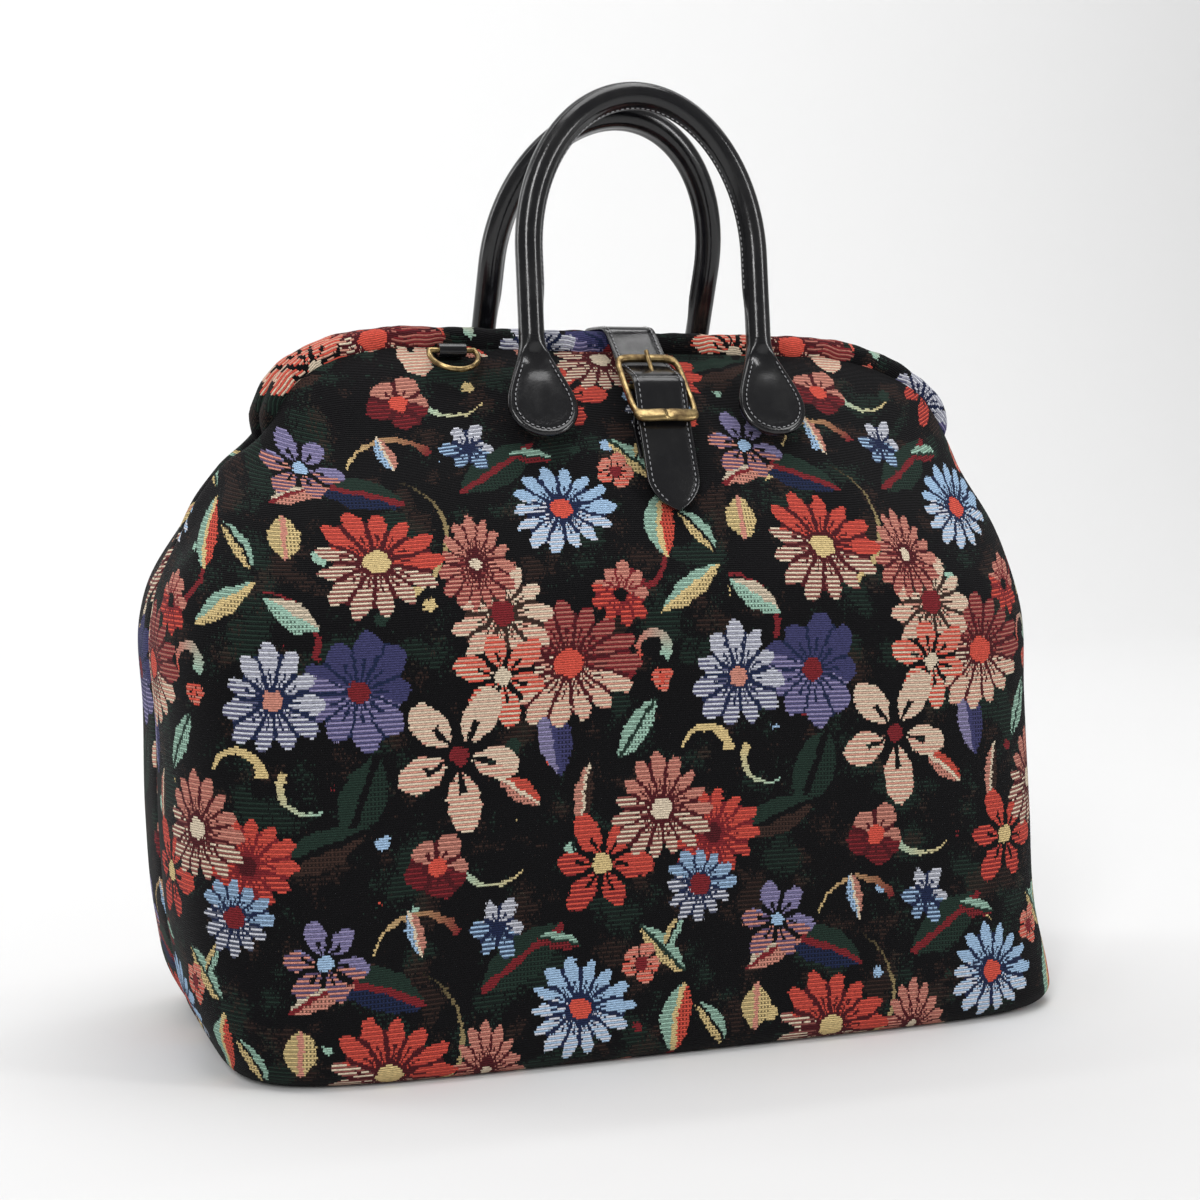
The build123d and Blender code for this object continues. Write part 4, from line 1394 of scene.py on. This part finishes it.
# ---------------------------------------------------------------- studio
@dataclass
class Studio:
    """Pale floor and backdrop, soft lights and the camera."""

    lens: float = 64.76
    eye: tuple[float, float, float] = (-0.42826, -1.15765, 0.34744)
    right: tuple[float, float, float] = (0.9407, -0.3392, 0.0)
    up: tuple[float, float, float] = (0.0309, 0.0857, 0.9959)
    back: tuple[float, float, float] = (-0.3378, -0.9368, 0.0911)
    floor_tint: Colour = (0.74, 0.74, 0.74)

    def camera(self) -> None:
        """Places the camera by its own right, up and back directions."""
        data = bpy.data.cameras.new("camera")
        data.lens, data.sensor_width = self.lens, 36.0
        data.clip_start, data.clip_end = 0.05, 50.0
        camera = bpy.data.objects.new("camera", data)
        turn = Matrix((self.right, self.up, self.back)).transposed().to_4x4()
        camera.matrix_world = Matrix.Translation(self.eye) @ turn
        bpy.context.scene.collection.objects.link(camera)
        bpy.context.scene.camera = camera

    def floor(self) -> None:
        """A wide floor that curves up into a wall behind: a straight run, a quarter turn and a rise."""
        r, far = 1.6, 1.6
        turn = np.linspace(0, math.pi / 2, 16)
        y = np.concatenate([[-6.0], far + r * np.sin(turn), [far + r]])
        z = np.concatenate([[0.0], r * (1 - np.cos(turn)), [6.0]])
        x = np.linspace(-8.0, 8.0, 3)
        points = np.stack(np.broadcast_arrays(x[None], y[:, None], z[:, None]), -1) / MM
        finish = Plain("pale_floor", self.floor_tint, self.floor_tint, (0.75, 0.9), 0.0, 3.0, 0.0001).make()
        ground = make_piece("floor", [Patch(points, points[..., :2])], finish, middle=(0, 0, -9000))

    @staticmethod
    def light(
        name: str, place: Sequence[float], aim: Sequence[float], size: tuple[float, float], power: float
    ) -> None:
        """One rectangular soft light, turned to a point."""
        data = bpy.data.lights.new(name, "AREA")
        data.shape, data.size, data.size_y = "RECTANGLE", size[0], size[1]
        data.energy = power
        lamp = bpy.data.objects.new(name, data)
        lamp.location = place
        lamp.rotation_euler = (Vector(place) - Vector(aim)).to_track_quat("Z", "Y").to_euler()
        bpy.context.scene.collection.objects.link(lamp)

    def build(self) -> None:
        """Builds the whole studio."""
        world = bpy.data.worlds.new("studio")
        world.use_nodes = True
        sky = world.node_tree.nodes["Background"]
        sky.inputs["Color"].default_value = (1.0, 1.0, 1.0, 1.0)
        sky.inputs["Strength"].default_value = 0.3
        bpy.context.scene.world = world
        bpy.context.scene.view_settings.view_transform = "Standard"
        self.camera()
        self.floor()
        aim = (0.0, 0.0, 0.25)
        self.light("key", (-1.3, -1.9, 1.6), aim, (0.5, 1.5), 30.0)
        self.light("fill", (1.8, -1.5, 0.9), aim, (0.35, 1.5), 17.0)
        self.light("top", (0.1, -0.2, 2.1), aim, (1.6, 1.0), 20.0)
        self.light("backdrop", (0.0, 0.9, 2.6), (0.0, 3.2, 0.9), (6.0, 0.8), 90.0)
        self.light("rim", (-1.6, 0.9, 0.9), aim, (0.5, 1.4), 8.0)


def dress_frame(finishes: dict[str, bpy.types.Material]) -> None:
    """Gives each CAD piece that still shows its finish."""
    wear = {
        "steel": ("front_frame", "back_frame", "hinge_rivet_left", "hinge_rivet_right"),
        "board": ("base_board",),
        "cord": ("front_handle_core", "back_handle_core"),
        "brass": ("buckle_prong", "d_ring_left", "d_ring_right"),
        "leather": ("ring_tab_left", "ring_tab_right"),
    }
    for finish, names in wear.items():
        for name in names:
            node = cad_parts[name]
            node.data.materials.clear()
            node.data.materials.append(finishes[finish])


def main() -> None:
    """Builds the studio, the finishes and every piece."""
    logging.basicConfig(level=logging.INFO)
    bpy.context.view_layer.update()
    Studio().build()
    finishes = {
        "leather": Leather().make(),
        "brass": Brass().make(),
        "steel": Plain(
            "strip_steel", (0.45, 0.45, 0.46), (0.30, 0.30, 0.31), (0.3, 0.5), 1.0, 500.0, 0.0001
        ).make(),
        "board": Plain("fibre_board", (0.05, 0.045, 0.04), (0.03, 0.028, 0.025), (0.7, 0.9)).make(),
        "cord": Plain("cotton_cord", (0.60, 0.55, 0.45), (0.45, 0.40, 0.32), (0.8, 0.95)).make(),
        "thread": Plain(
            "grey_thread", (0.30, 0.30, 0.31), (0.20, 0.20, 0.21), (0.6, 0.8), 0.0, 2500.0, 0.0001
        ).make(),
        "tapestry": Tapestry().make(),
        "lining": Twill().make(),
    }
    body = BagBody()
    for side, lean in ((Side.FRONT, 7.3), (Side.BACK, 21.5)):
        body.build(side, finishes["tapestry"], finishes["lining"])
        FrameRoll().build(side, finishes["tapestry"])
        HandleSet().build(side, lean, finishes["leather"], finishes["thread"])
    ClosingBuckle().build(finishes["brass"])
    ClosingStrap().build(body, finishes["leather"], finishes["thread"])
    dress_frame(finishes)


if __name__ == "__main__":
    main()
